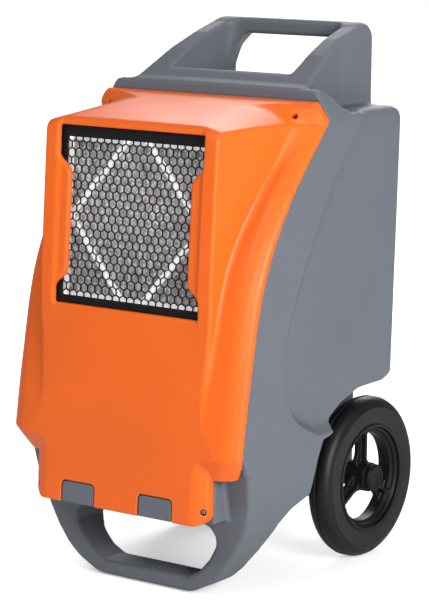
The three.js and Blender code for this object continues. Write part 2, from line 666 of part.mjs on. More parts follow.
// The switch rocks about a line across the machine; at rest its lower half is pressed in.
function powerSwitch() {
  const outline = [[-7, -9], [2.5, -13.5], [5, -13], [3.2, 0], [5, 13], [2.5, 13.5], [-7, 9]];
  const angle = THREE.MathUtils.degToRad(-10);
  const rocker = sideSlab(outline.map(([y, z]) => [
    y * Math.cos(angle) - z * Math.sin(angle) + PANEL_FACE_Y,
    y * Math.sin(angle) + z * Math.cos(angle) + PANEL_Z]), SWITCH_X - 10.5, SWITCH_X + 10.5);
  place("power_switch", rocker, "red");
}

function controls() {
  const cap = turned([[0, 36], [6, 36], [6, 41], [8, 41], [8, 50], [7, 51.5], [0, 51.5]],
    [BUTTON_X, 0, PANEL_Z], Y_AXIS, 16);
  place("purge_button", cap, "white");

  const face = PANEL_FACE_Y;
  const profile = [[0, 38], [3.6, 38], [3.6, face + 1], [18, face + 1], [18, face + 5],
    [14, face + 8], [13, face + 17], [0, face + 17]];
  const knob = turned(profile, [KNOB_X, 0, PANEL_Z], Y_AXIS, 20);
  const pointer = box(KNOB_X - 2, KNOB_X + 2, face + 7, face + 19, PANEL_Z, PANEL_Z + 16);
  place("humidistat_knob", joined(knob, pointer), "black");

  const meter = joined(
    box(METER_X - 22, METER_X + 22, 37, PANEL_FACE_Y, PANEL_Z - 12, PANEL_Z + 12),
    box(METER_X - 25, METER_X + 25, PANEL_FACE_Y + GAP, PANEL_FACE_Y + 3, PANEL_Z - 15, PANEL_Z + 15),
    box(METER_X - 22, METER_X + 22, PANEL_FACE_Y - 1, PANEL_FACE_Y + 1, PANEL_Z - 12, PANEL_Z + 12));
  place("hour_meter", meter, "black");

  const outer = box(-108, 108, -34, 33, 646, 687);
  const inner = box(-106, 106, -32, 40, 648, 685);
  place("control_box", without(outer, inner), "steel");
}

// ---------- condensate pump ----------

const FLOOR_Z = 148;
const TANK_TOP_Z = 222;
const PUMP = [28, -125];
const FLOAT = [-30, -90];
const DRAIN = [-60, -180];

function drainPan() {
  const outer = box(-142, 142, -376, -246, 386, 410);
  const inner = box(-140, 140, -374, -248, 388, 420);
  const hole = bar([DRAIN[0], -290, 380], [DRAIN[0], -290, 392], 7.4, 12);
  place("drain_pan", without(outer, inner, hole), "steel");
}

function condensatePump() {
  const tank = box(-100, 78, -208, -44, FLOOR_Z + GAP, TANK_TOP_Z);
  const inside = box(-97, 75, -205, -47, FLOOR_Z + GAP + 3, TANK_TOP_Z + 5);
  place("pump_reservoir", without(tank, inside), "white");

  const lid = box(-101, 79, -209, -43, TANK_TOP_Z + GAP, TANK_TOP_Z + 4);
  const lidHole = ([x, y], radius) => bar([x, y, TANK_TOP_Z - 5], [x, y, TANK_TOP_Z + 10], radius, 12);
  const [px, py] = PUMP;
  const motor = bar([px, py, TANK_TOP_Z + 3], [px, py, TANK_TOP_Z + 62], 25, 20);
  const drive = bar([px, py, FLOOR_Z + 12], [px, py, TANK_TOP_Z + 6], 6.5, 12);
  const rotor = bar([px, py, FLOOR_Z + 10], [px, py, FLOOR_Z + 26], 17, 16);
  const pierced = without(lid, lidHole(DRAIN, 8), lidHole(HOSE_HOLE, 8), lidHole(FLOAT, 4));
  place("pump_head", joined(pierced, motor, drive, rotor), "black");

  const [fx, fy] = FLOAT;
  const bulb = bar([fx, fy, FLOOR_Z + 14], [fx, fy, FLOOR_Z + 36], 17, 16);
  const stem = bar([fx, fy, FLOOR_Z + 35], [fx, fy, TANK_TOP_Z + 14], 3, 10);
  place("pump_float", joined(bulb, stem), "white");
}

const OUTLET_X = -150;
const PORT_Z = 335;

function hoses() {
  const [dx, dy] = DRAIN;
  const drain = [[dx, -290, 386], [dx, -290, 262], [dx, dy, 262], [dx, dy, 214]];
  place("drain_hose", pipe(drain, 6.5, 22), "rubber");

  const [hx, hy] = HOSE_HOLE;
  const outlet = [[hx, hy, 214], [hx, hy, PORT_Z], [OUTLET_X, hy, PORT_Z], [OUTLET_X, REAR_Y - 14, PORT_Z]];
  place("outlet_hose", pipe(outlet, 6, 22), "rubber");

  const y = REAR_Y;
  const barb = [[0, y - 13], [8.5, y - 13], [8.5, y + GAP], [15, y + GAP], [15, y + 9], [8, y + 10],
    [8, y + 14], [10, y + 16], [7.5, y + 22], [9.5, y + 24], [7, y + 32], [0, y + 32]];
  place("hose_connector", turned(barb, [OUTLET_X, 0, PORT_Z], Y_AXIS, 16), "steel");
}

// ---------- mains lead ----------

const HOOK_X = 85;
const HOOK_Z = 345;
const CORD_RADIUS = 4.5;

function cordHooks() {
  for (const [side, word] of [[1, "right"], [-1, "left"]]) {
    const y = REAR_Y + GAP;
    const post = turned([[0, y], [15, y], [15, y + 4], [8, y + 5], [8, y + 50], [0, y + 50]],
      [side * HOOK_X, 0, HOOK_Z], Y_AXIS, 12);
    const lipX = side * (HOOK_X + 4);
    const lip = box(lipX - 9, lipX + 9, y + 48, y + 53, HOOK_Z - 22, HOOK_Z + 22);
    place(`cord_hook_${word}`, joined(post, lip), "black");
  }
}

const CORD_X = 150; // where the lead comes through the back
const PLUG_X = 20;
const PLUG_Z = 240;

// The lead leaves the gland, winds three times round the two hooks and hangs down to the plug.
function mainsLead() {
  const half = HOOK_X + 14;
  const rise = 14;
  const pitch = 2 * CORD_RADIUS + 0.8;
  const turns = 3;
  const first = REAR_Y + 8 + CORD_RADIUS;
  const corners = [[CORD_X, REAR_Y - 20, PORT_Z], [CORD_X, REAR_Y + 26, PORT_Z],
    [half + 22, first, HOOK_Z - 30]];
  for (let turn = 0; turn < turns; turn++) {
    const y = first + turn * pitch;
    corners.push([-half, y, HOOK_Z - rise], [-half, y + pitch / 2, HOOK_Z + rise],
      [half, y + pitch / 2, HOOK_Z + rise], [half, y + pitch, HOOK_Z - rise]);
  }
  const last = first + turns * pitch;
  corners.push([PLUG_X, last, HOOK_Z - rise], [PLUG_X, last, PLUG_Z + 42]);
  place("power_cord", pipe(corners, CORD_RADIUS, 16), "rubber");
  powerPlug(last);
}

function powerPlug(y) {
  const profile = [[0, 0], [13, 0], [13, 22], [9, 32], [7, 41], [0, 41]];
  const grip = turned(profile, [PLUG_X, y, PLUG_Z], Z_AXIS, 14);
  const blades = [PLUG_X - 5, PLUG_X + 5].map((x) =>
    box(x - 0.8, x + 0.8, y - 3.2, y + 3.2, PLUG_Z - 18, PLUG_Z + 2));
  const earth = bar([PLUG_X, y + 6, PLUG_Z - 19], [PLUG_X, y + 6, PLUG_Z + 2], 2.3, 8);
  place("power_plug", joined(grip, ...blades, earth), "rubber");
}

function cableGland() {

  const y = REAR_Y;
  const gland = turned([[5.6, y - 12], [9, y - 12], [9, y + GAP], [14, y + GAP], [14, y + 6], [9, y + 8],
    [5.6, y + 8], [5.6, y - 12]], [CORD_X, 0, PORT_Z], Y_AXIS, 12);
  place("cable_gland", gland, "black");
}

// ---------- wheels ----------

const WHEEL_X = WHEEL_OUTER_X - WHEEL_WIDTH / 2;
const RIM_RADIUS = 80;
const BUSH_RADIUS = 12;
const HUB_HALF = 19;

function axle() {
  const half = WHEEL_X + HUB_HALF + 5;
  place("axle", bar([-half, 0, WHEEL_RADIUS], [half, 0, WHEEL_RADIUS], AXLE_RADIUS, 20), "steel");
}

function wheel(side, word) {
  const centre = [side * WHEEL_X, 0, WHEEL_RADIUS];
  const half = WHEEL_WIDTH / 2;
  const ring = (profile, segments) => turned([...profile, profile[0]], centre, X_AXIS, segments);

  const tyre = ring([[RIM_RADIUS + GAP, -half + 2], [WHEEL_RADIUS - 16, -half], [WHEEL_RADIUS - 5, -half + 7],
    [WHEEL_RADIUS, -half + 16], [WHEEL_RADIUS, half - 16], [WHEEL_RADIUS - 5, half - 7],
    [WHEEL_RADIUS - 16, half], [RIM_RADIUS + GAP, half - 2]], 36);
  place(`tyre_${word}`, tyre, "rubber");

  const barrel = ring([[RIM_RADIUS - 6, -18], [RIM_RADIUS, -18], [RIM_RADIUS, 18], [RIM_RADIUS - 6, 18]], 36);
  const bore = BUSH_RADIUS + GAP;
  const hub = ring([[bore, -HUB_HALF], [22, -HUB_HALF], [22, HUB_HALF], [bore, HUB_HALF]], 20);
  const spokes = [0, 1, 2].map((i) => {
    const spoke = new THREE.BoxGeometry(14, 24, RIM_RADIUS - 20);
    spoke.translate(side * 4, 0, (RIM_RADIUS + 16) / 2);
    spoke.rotateX((2 * Math.PI * i) / 3);
    return solid(spoke.translate(...centre));
  });
  place(`rim_${word}`, joined(barrel, hub, ...spokes), "black");

  const bushHalf = HUB_HALF + 1;
  const bush = ring([[AXLE_RADIUS + 0.3, -bushHalf], [BUSH_RADIUS, -bushHalf],
    [BUSH_RADIUS, bushHalf], [AXLE_RADIUS + 0.3, bushHalf]], 20);
  place(`wheel_bush_${word}`, bush, "white");

  const outward = X_AXIS.clone().multiplyScalar(side);
  const end = bushHalf + GAP;
  const cap = [[0, end + 5], [AXLE_RADIUS + GAP, end + 5], [AXLE_RADIUS + GAP, end], [20, end],
    [19, end + 5], [13, end + 8], [0, end + 9]];
  place(`hub_cap_${word}`, turned(cap, centre, outward, 16), "black");

  const from = WELL_HALF + GAP;
  const to = WHEEL_X - bushHalf - GAP;
  const spacer = turned([[AXLE_RADIUS + 0.6, from], [13, from], [13, to], [AXLE_RADIUS + 0.6, to],
    [AXLE_RADIUS + 0.6, from]], [0, 0, WHEEL_RADIUS], outward, 12);
  place(`axle_spacer_${word}`, spacer, "steel");
}

bodyShell();
frontCover();
coverScrews();
grilleFrame();
intakeGrille();
filterParts();
coil("evaporator", 36, -1);
coil("condenser", 86, 1);
coilCasing();
drainPan();
chassisDeck();
compressor();
vessels();
refrigerantLines();
fanShroud();
fanImpeller();
fanMotor();
outletGrille();
controlPanel();
powerSwitch();
controls();
condensatePump();
hoses();
cordHooks();
mainsLead();
cableGland();
axle();
wheel(1, "right");
wheel(-1, "left");
machine.add(windowPack);

machine.position.set(0, -(FRONT_Y + WHEEL_RADIUS) / 2, 0);

export default machine;
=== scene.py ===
"""Looks of a commercial dehumidifier on two wheels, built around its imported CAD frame.

The two moulded shells are described as distance fields (millimetres, measured from the ground point
under the axle) and meshed here; the other visible pieces are built in mesh code or keep their CAD
solid under a bevel. Everything rides on the CAD bodies.
"""

import math

import bpy
import bmesh
import numpy as np
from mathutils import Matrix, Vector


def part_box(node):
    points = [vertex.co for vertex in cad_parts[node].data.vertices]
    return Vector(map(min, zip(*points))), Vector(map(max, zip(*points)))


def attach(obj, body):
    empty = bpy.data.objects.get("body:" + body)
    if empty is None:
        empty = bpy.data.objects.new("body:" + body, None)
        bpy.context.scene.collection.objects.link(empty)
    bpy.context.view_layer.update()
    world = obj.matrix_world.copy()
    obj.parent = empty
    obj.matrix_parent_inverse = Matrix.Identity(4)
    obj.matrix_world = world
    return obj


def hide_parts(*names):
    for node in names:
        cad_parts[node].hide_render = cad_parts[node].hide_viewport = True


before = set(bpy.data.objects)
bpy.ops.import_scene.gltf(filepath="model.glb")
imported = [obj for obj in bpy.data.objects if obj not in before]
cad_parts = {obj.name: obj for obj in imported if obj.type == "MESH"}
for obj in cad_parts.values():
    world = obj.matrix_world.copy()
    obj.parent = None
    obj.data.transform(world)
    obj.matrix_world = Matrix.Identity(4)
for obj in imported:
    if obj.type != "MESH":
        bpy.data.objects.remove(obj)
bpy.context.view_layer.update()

import openvdb
from mathutils import Matrix, Vector

MM = 0.001

# ---------- sizes taken from the frame, in millimetres from the ground under the axle ----------


def span(node, axis):
    low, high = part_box(node)
    shift = AXLE_Y if axis == 1 else 0
    return low[axis] / MM - shift, high[axis] / MM - shift


def centre_of(node, axis):
    return sum(span(node, axis)) / 2


AXLE_Y = sum(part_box("axle")[i][1] for i in (0, 1)) / 2 / MM
AXLE_Z = sum(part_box("axle")[i][2] for i in (0, 1)) / 2 / MM
BAND_HALF = span("body_shell", 0)[1]
REAR_Y = span("body_shell", 1)[1]
HANDLE_TOP_Z = span("body_shell", 2)[1]
FRONT_Y, COVER_REAR_Y = span("front_cover", 1)
COVER_BOTTOM_Z, COVER_TOP_Z = span("front_cover", 2)
SIDE_HALF = BAND_HALF - 16
WELL_HALF = 118
WALL = 6
DECK_Z = 302
CORD_X = 150
PORT_Z = 335
FLANGE_BOTTOM_Z = COVER_BOTTOM_Z + 68
FLANGE_BEND_Z = FLANGE_BOTTOM_Z + 33
BAND_TOP_Z = COVER_TOP_Z - 29
SHOULDER_Z = HANDLE_TOP_Z - 127
RIDGE_Z = HANDLE_TOP_Z - 90
HANDLE_HALF = 141
FOOT_FRONT_Y = FRONT_Y + 69
FACE_LEAN = math.radians(3.6)
PLATE = 9
GAP = 3.0
SIDES = ((1, "right"), (-1, "left"))


def to_world(points):
    """Millimetres from the ground under the axle to metres in the row frame."""
    points = np.asarray(points, float)
    return (points + np.array([0, AXLE_Y, 0])) * MM


# ---------- distance fields: negative inside, and every join can be rounded ----------


def meet(a, b, radius):
    """What two solids share, with the new edges rounded."""
    outside = np.hypot(np.maximum(a + radius, 0), np.maximum(b + radius, 0))
    return np.minimum(-radius, np.maximum(a, b)) + outside


def join(a, b, radius):
    return -meet(-a, -b, radius)


def cut(a, b, radius):
    return meet(a, -b, radius)


def outline(corners, a, b):
    """Distance to a closed outline of (a, b) points, for arrays a and b."""
    points = np.asarray(corners, float)
    nearest = np.full(np.broadcast(a, b).shape, np.inf)
    inside = np.zeros(nearest.shape, bool)
    for (a0, b0), (a1, b1) in zip(points, np.roll(points, -1, axis=0)):
        da, db = a1 - a0, b1 - b0
        along = np.clip(((a - a0) * da + (b - b0) * db) / (da * da + db * db), 0, 1)
        nearest = np.minimum(nearest, (a - a0 - along * da) ** 2 + (b - b0 - along * db) ** 2)
        if db:
            crosses = ((b0 <= b) != (b1 <= b)) & (a < a0 + (b - b0) * da / db)
            inside ^= crosses
    return np.where(inside, -1, 1) * np.sqrt(nearest)


def rounded(corners, steps=5):
    """A closed outline whose corners (a, b, radius) are turned into arcs."""
    made = []
    count = len(corners)
    for i, (a, b, radius) in enumerate(corners):
        here = Vector((a, b))
        before = Vector(corners[i - 1][:2]) - here
        after = Vector(corners[(i + 1) % count][:2]) - here
        turn = before.angle(after, math.pi)
        if radius <= 0 or turn > math.radians(178):
            made.append((a, b))
            continue
        reach = min(radius / math.tan(turn / 2), before.length * 0.49, after.length * 0.49)
        start = here + before.normalized() * reach
        end = here + after.normalized() * reach
        for k in range(steps + 1):
            t = k / steps
            point = start.lerp(here, t).lerp(here.lerp(end, t), t)
            made.append((point.x, point.y))
    return made


def spline(points, steps):
    """A smooth curve through the points, as a list."""
    p = np.array([points[0], *points, points[-1]], float)
    made = []
    for place in np.linspace(0, len(points) - 1, steps):
        i = min(int(place), len(points) - 2)
        t = place - i
        a, b, c, d = p[i:i + 4]
        made.append(0.5 * (2 * b + (c - a) * t + (2 * a - 5 * b + 4 * c - d) * t * t
                           + (3 * b - a - 3 * c + d) * t ** 3))
    return [tuple(q) for q in made]


def box_field(x, y, z, low, high, radius=0):
    field = np.maximum(low[0] - x, x - high[0])
    field = meet(field, np.maximum(low[1] - y, y - high[1]), radius)
    return meet(field, np.maximum(low[2] - z, z - high[2]), radius)


def smooth_step(t):
    t = np.clip(t, 0, 1)
    return t * t * (3 - 2 * t)


# ---------- outlines shared by the two shells, (y, z) ----------

COVER_EDGE = [(-381, FLANGE_BOTTOM_Z)]
COVER_EDGE += spline([(-398, FLANGE_BEND_Z), (-381, 330), (-350, 470), (-288, 587), (-190, BAND_TOP_Z)], 40)
EDGE_Y = np.array([y for y, z in COVER_EDGE] + [COVER_EDGE[-1][0] - 7])
EDGE_Z = np.array([z for y, z in COVER_EDGE] + [COVER_TOP_Z])
CREASE = spline([(-88, 699), (-182, 583), (-270, 418), (-285, 330), (-255, 265), (-191, 231)], 40)
WELL_EDGE = rounded([
    (-288, 50, 0), (-280, 72, 20), (-263, 106, 30), (-240, 124, 30), (-214, 134, 20), (-198, 139, 8),
    (-190, 187, 60), (-179, 221, 5), (-153, 226, 8), (-135, 246, 30), (-108, 263, 40), (-56, 280, 60),
    (14, 282, 30), (36, 292, 12),
    (REAR_Y + 40, 300, 0), (REAR_Y + 40, 20, 0), (-288, 20, 0)])
FRONT_HALF = rounded([
    (-60, 0, 0), (84, 0, 40), (127, 22, 60), (148, 40, 60), (168, 66, 80), (188, 102, 100), (203, 150, 120),
    (BAND_HALF, FLANGE_BEND_Z - 9, 60), (BAND_HALF, BAND_TOP_Z, 9), (187, RIDGE_Z, 9), (-60, RIDGE_Z + 4, 0)])


def edge_y(z):
    """Depth of the cover's side edge at a height."""
    return np.interp(z, EDGE_Z, EDGE_Y)


def cover_zone(y, z, margin):
    """What lies in front of the cover's back face, moved back by the margin."""
    back = [(ey + PLATE + margin, ez) for ey, ez in zip(EDGE_Y, EDGE_Z)]
    top = back[-1]
    corners = [*back, (top[0] + 4, top[1] + 30), (-600, top[1] + 30), (-600, FLANGE_BOTTOM_Z - margin)]
    return outline(corners, y, z)


# ---------- the grey body ----------

HANDLE_SIDE = rounded([
    (-222, 718, 0), (-130, 773, 60), (-100, 791, 60), (-53, 813, 60), (-3, 829, 30), (16, HANDLE_TOP_Z, 10),
    (REAR_Y - 14, HANDLE_TOP_Z, 6), (REAR_Y, HANDLE_TOP_Z - 20, 16), (REAR_Y, SHOULDER_Z - 40, 0),
    (-222, SHOULDER_Z - 40, 0)])
HANDLE_HALF_OUTLINE = rounded([
    (-60, 600, 0), (HANDLE_HALF, 600, 0), (HANDLE_HALF, HANDLE_TOP_Z, 17), (-60, HANDLE_TOP_Z, 0)])
GRIP_RECESS = rounded([
    (-60, 690, 0), (112, 690, 0), (113, 780, 30), (110, 812, 20), (102, HANDLE_TOP_Z + 12, 0),
    (-60, HANDLE_TOP_Z + 12, 0)])
GRIP_OPENING = rounded([
    (-60, 690, 0), (111, 690, 0), (110, 760, 30), (98, 790, 30), (76, 811, 12), (-60, 811, 0)])
GRIP_FLOOR = rounded([
    (-400, 766, 0), (-141, 766, 0), (-100, 722, 20), (-84, 700, 0), (100, 700, 0), (100, 900, 0),
    (-400, 900, 0)])
CROSSBAR_Y = 10
FOOT_OPENING = rounded([
    (-60, 24, 0), (78, 24, 14), (101, 36, 20), (121, 58, 20), (133, 80, 16), (132, 94, 12), (122, 106, 12),
    (104, 111, 12), (-60, 111, 0)])
BODY_SIDE = rounded([
    (FOOT_FRONT_Y, 0, 10), (-290, 0, 10), (-290, 50, 20), (-280, 74, 20), (-245, 102, 20),
    (REAR_Y - 12, 102, 0), (REAR_Y, 116, 10), (REAR_Y, SHOULDER_Z, 24), (-60, SHOULDER_Z + 1, 60),
    (-108, SHOULDER_Z - 2, 30), (-132, RIDGE_Z - 29, 15), (-148, RIDGE_Z - 13, 10), (-170, RIDGE_Z, 5),
    (-200, RIDGE_Z - 6, 4), (-500, RIDGE_Z - 6, 0), (-500, FLANGE_BEND_Z - 10, 0),
    (-384, FLANGE_BEND_Z - 10, 6), (-367, 196, 12), (FOOT_FRONT_Y, 112, 60)])
NOTCH = (41, 105, 159)  # inner and outer half-widths and the height of the notches in the cover


def side_half(y, z):
    """Half-width of the body: the wide band, and the recessed side behind the crease."""
    behind = -outline([*CREASE, (REAR_Y + 60, 231), (REAR_Y + 60, 770), (-88, 770)], y, z)
    t = np.clip(behind / np.interp(z, [231, 420], [15, 34]), 0, 1)
    narrow = SIDE_HALF + 2 - 9 * np.clip((BAND_TOP_Z - z) / 420, 0, 1)
    return BAND_HALF - (BAND_HALF - narrow) * (1 - (1 - t) ** 2)


def notch_field(x, z, margin):
    inner, outer, top = NOTCH[0] + margin, NOTCH[1] - margin, NOTCH[2] - margin
    corners = [(inner, 90, 0), (outer, 90, 0), (outer, top, 9), (inner, top, 9)]
    return outline(rounded(corners), x, z)


def handle_field(half, y, z):
    """The two leaning arms and the bar between them; the arms spread a little towards their feet."""
    spread = 0.18 * np.clip(-55 - y, 0, 110)
    solid = meet(outline(HANDLE_SIDE, y, z), outline(HANDLE_HALF_OUTLINE, half - spread, z), 7)
    recess = meet(outline(GRIP_RECESS, half, z), y - CROSSBAR_Y, 18)
    widened = half - 0.2 * np.clip(y + 10, 0, 60)
    opening = join(recess, outline(GRIP_OPENING, widened, z), 5)
    opening = meet(opening, outline(GRIP_FLOOR, y, z), 5)
    return cut(solid, opening, 6)


def body_outer(x, y, z):
    half = np.abs(x)
    sides = half - side_half(y, z)
    bulk = meet(outline(BODY_SIDE, y, z), outline(FRONT_HALF, half, z), 6)
    bulk = meet(bulk, sides, 16)
    bulk = join(bulk, handle_field(half, y, z), 9)
    bulk = cut(bulk, cover_zone(y, z, GAP), 2.5)
    # The block behind the cover's lower tab.
    backing = meet(half - 160, -388 - y, 3)
    backing = meet(backing, np.maximum(COVER_BOTTOM_Z - 1 - z, z - FLANGE_BOTTOM_Z - 12), 3)
    backing = meet(backing, y + 330, 0)
    bulk = join(bulk, backing, 6)
    well = meet(outline(WELL_EDGE, y, z), WELL_HALF - half, 8)
    bulk = cut(bulk, well, 5)
    bulk = cut(bulk, meet(outline(FOOT_OPENING, half, z), np.abs(y + 310) - 66, 0), 8)
    return bulk


def tab_field(x, y, z):
    """One of the two grey tabs that show, flush, in the notches of the cover."""
    tab = meet(notch_field(x, z, 0.9), COVER_BOTTOM_Z + 1 - z, 2)
    return meet(tab, np.maximum(face_y(z) + 0.8 - y, y + 384), 2)


def body_hollow(x, y, z):
    half = np.abs(x)
    room = outline(rounded([
        (-420, DECK_Z, 0), (REAR_Y - WALL, DECK_Z, 6), (REAR_Y - WALL, 701, 14), (-106, 699, 20),
        (-150, 727, 10), (-172, 739, 6), (-179, 732, 4), (-179, 698, 4), (-420, 698, 0)]), y, z)
    roof = outline(rounded([(-60, 290, 0), (184, 290, 0), (184, 706, 8), (172, 732, 8), (150, 741, 8),
                            (-60, 741, 0)]), half, z)
    upper = meet(room, roof, 6)
    lower_front = box_field(half, y, z, (-1, -420, 236), (167, -200, DECK_Z + 4), 2)
    behind_tab = box_field(half, y, z, (-1, -420, 150), (154, -228, 240), 2)
    middle = box_field(half, y, z, (-1, -232, 148), (WELL_HALF - 7, REAR_Y - WALL, DECK_Z + 4), 4)
    return np.minimum(np.minimum(upper, lower_front), np.minimum(behind_tab, middle))


def round_hole(a, b, centre, radius):
    return np.hypot(a - centre[0], b - centre[1]) - radius


def body_field(x, y, z):
    shell = cut(body_outer(x, y, z), body_hollow(x, y, z), 1)
    near_back = (REAR_Y - 20) - y
    fan_z = span("fan_impeller", 2)
    outlet = round_hole(x, z, (0, sum(fan_z) / 2), (fan_z[1] - fan_z[0]) / 2 + 5)
    panel = np.maximum(np.abs(x) - 112, np.abs(z - centre_of("control_panel", 2)) - 24)
    cord = round_hole(np.abs(x), z, (CORD_X, PORT_Z), 9.6)
    openings = np.minimum(np.minimum(outlet, panel), cord)
    shell = cut(shell, np.maximum(openings, near_back), 1.5)
    axle = np.maximum(round_hole(y, z, (0, AXLE_Z), 8.8), np.abs(x) - 130)
    return cut(shell, axle, 1)


# ---------- the orange cover ----------

WINDOW_TOP_Z = 690
WINDOW_BOTTOM_Z = 424
WINDOW = rounded([
    (-60, WINDOW_BOTTOM_Z, 0), (135, WINDOW_BOTTOM_Z, 4), (135, 452, 14), (113, 470, 16), (113, 622, 16),
    (135, 644, 14), (135, WINDOW_TOP_Z, 4), (-60, WINDOW_TOP_Z, 0)])
COVER_WALL = 5
BEAD_X = 195
BEAD_RISE = 17
RAIL_X = 160


def face_y(z):
    return FRONT_Y + (z - COVER_BOTTOM_Z) * math.tan(FACE_LEAN)


def wall_x(z):
    """Half-width of the raised block: upright beside the window, drawn in towards the tab."""
    return np.interp(z, [COVER_BOTTOM_Z, 223, 310, 421, COVER_TOP_Z], [141, 146, 151, RAIL_X, RAIL_X])


def roof_field(y, z):
    return z - (COVER_TOP_Z + 0.15 * (y + 197))


def rail_rise(half, z):
    """The cover stands a little proud beside the window."""
    return 3.5 * smooth_step((half - 128) / 10) * smooth_step((z - 380) / 120)


def cover_parts(x, y, z):
    """The raised block, the flange at each side of it and the tab below, before they are joined."""
    half = np.abs(x)
    roof = roof_field(y, z)
    rise = np.interp(z, [FLANGE_BEND_Z, 330, 470], [13, 15, BEAD_RISE])
    chamfer = edge_y(z) - (BAND_HALF - half) * rise / (BAND_HALF - BEAD_X)
    level = edge_y(z) - rise - (BEAD_X - np.maximum(half, 150)) * 0.1
    flange = meet((chamfer - y) * 0.74, level - y, 5)
    flange = meet(flange, half - BAND_HALF, 1.5)
    # The foot of the flange is cut back and inwards by one slanting plane.
    under = 0.447 * (half - 196) - 0.672 * (y + 381) - 0.59 * (z - FLANGE_BOTTOM_Z)
    flange = meet(flange, under, 3)
    flange = meet(flange, FLANGE_BOTTOM_Z - z, 1.5)
    flange = meet(flange, half - np.interp(z, [FLANGE_BOTTOM_Z, FLANGE_BEND_Z], [193, BAND_HALF]), 6)
    # Its top slopes forward from the roof's rear edge, where the upper screws sit.
    brim = 0.12 * (half - 185) - 0.60 * (y + 197) + 0.78 * (z - COVER_TOP_Z)
    flange = meet(flange, brim, 14)
    flange = meet(flange, np.maximum(y - edge_y(z) - 40, roof), 1)

    bulge = 5 * np.clip(half / RAIL_X, 0, 1) ** 4 * smooth_step((430 - z) / 200)
    brow = 0.62 * (z - 690) - 0.78 * (y + 392)
    block = meet(face_y(z) - rail_rise(half, z) + bulge - y, roof, 12)
    block = meet(block, brow, 10)
    facet = 0.447 * (half - 123) - 0.067 * (y + 197) + 0.892 * (z - COVER_TOP_Z)
    block = meet(block, facet, 14)
    flare = 0.12 * np.clip(y + 385, 0, 190) * smooth_step((z - 480) / 120)
    block = meet(block, half - wall_x(z) - flare, 5)
    block = meet(block, FLANGE_BOTTOM_Z - 5 - z, 3)
    block = meet(block, y + 150, 0)

    tab = meet(face_y(z) - y, 0.53 * (half - 143) - 0.85 * (y - face_y(z)), 5)
    rim = meet(half - 161, COVER_BOTTOM_Z - z, 20)
    tab = meet(tab, rim, 3)
    tab = meet(tab, z - FLANGE_BOTTOM_Z - 40, 0)
    return block, flange, tab


def cover_outer(x, y, z):
    block, flange, tab = cover_parts(x, y, z)
    joined = join(join(block, flange, 9 + 22 * smooth_step((z - 630) / 80)), tab, 4)
    front = face_y(z) - rail_rise(np.abs(x), z) - y
    return meet(joined, np.maximum(roof_field(y, z), front), 0)


def cover_field(x, y, z):
    half = np.abs(x)
    outer = cover_outer(x, y, z)
    edges = meet(outer, outline(FRONT_HALF, half, z), 2)
    opened = cut(edges, outline(WINDOW, half, z), 4.5)
    behind = np.minimum(cover_zone(y, z, 0), np.maximum(y + 389, z - FLANGE_BOTTOM_Z - 5))
    solid = meet(opened, behind, 1.5)
    block, flange, tab = cover_parts(x, y, z)
    cavity = meet(np.minimum(np.minimum(block, flange), tab) + COVER_WALL, half - 178, 3)
    near_window = np.maximum(outline(WINDOW, half, z) - 7, -(outer + 9.2))
    cavity = cut(cavity, near_window, 1)
    shell = cut(solid, cavity, 1)
    notch = np.maximum(notch_field(half, z, 0), y + 300)
    shell = cut(shell, notch, 1.6)
    for seat in SCREW_SEATS:
        shell = cut(shell, screw_field(half, y, z, seat), 2)
    return shell


SCREW_SEATS = [((172, -213, 704), (0.30, -0.60, 0.74)), ((156, -408, 147), (0.53, -0.85, 0))]


def screw_field(x, y, z, seat):
    """The counterbore of a cover screw and the hole for its shank."""
    at, out = (Vector(v) for v in seat)
    out.normalize()
    dx, dy, dz = x - at.x, y - at.y, z - at.z
    along = dx * out.x + dy * out.y + dz * out.z
    across = np.sqrt(np.maximum(dx * dx + dy * dy + dz * dz - along * along, 0))
    bore = np.maximum(across - 4.5, -5.5 - along)
    shank = np.maximum(across - 3.2, np.maximum(-25 - along, along - 2))
    return np.minimum(bore, shank)


# ---------- from a field to a mesh ----------


def add_object(name, data):
    made = bpy.data.objects.new(name, data)
    bpy.context.scene.collection.objects.link(made)
    return made


def gradient(field, points, step=0.4):
    parts = []
    for axis in range(3):
        shift = np.zeros(3)
        shift[axis] = step
        ahead = field(*(points + shift).T)
        back = field(*(points - shift).T)
        parts.append((ahead - back) / (2 * step))
    return np.stack(parts, 1)


def field_mesh(name, field, low, high, voxel, settle=3):
    """Meshes a field over a box, pulls the points on to the surface and keeps its true normals."""
    low, high = np.array(low, float) - 2 * voxel, np.array(high, float) + 2 * voxel
    counts = np.ceil((high - low) / voxel).astype(int) + 1
    x, y, z = (low[i] + voxel * np.arange(counts[i]) for i in range(3))
    values = field(x[:, None, None], y[None, :, None], z[None, None, :])
    grid = openvdb.FloatGrid(float(3 * voxel))
    grid.copyFromArray(np.ascontiguousarray(np.broadcast_to(values, counts), np.float32))
    points, _, quads = grid.convertToPolygons(0.0, 0.0)
    points = low + np.asarray(points, float) * voxel
    for _ in range(settle):
        slope = gradient(field, points)
        size = np.maximum((slope ** 2).sum(1), 0.25)
        move = -(field(*points.T) / size)[:, None] * slope
        points += np.clip(move, -voxel / 2, voxel / 2)
    quads = np.asarray(quads, int)
    normals = gradient(field, points)
    normals /= np.maximum(np.linalg.norm(normals, axis=1), 1e-6)[:, None]
    corners = points[quads]
    facing = np.cross(corners[:, 2] - corners[:, 0], corners[:, 3] - corners[:, 1])
    if (facing * normals[quads[:, 0]]).sum() < 0:
        quads = quads[:, ::-1]
    mesh = bpy.data.meshes.new(name)
    mesh.from_pydata(to_world(points).tolist(), [], quads.tolist())
    mesh.update()
    mesh.shade_smooth()
    mesh.normals_split_custom_set_from_vertices(normals.tolist())
    return add_object(name, mesh)


# ---------- procedural materials ----------

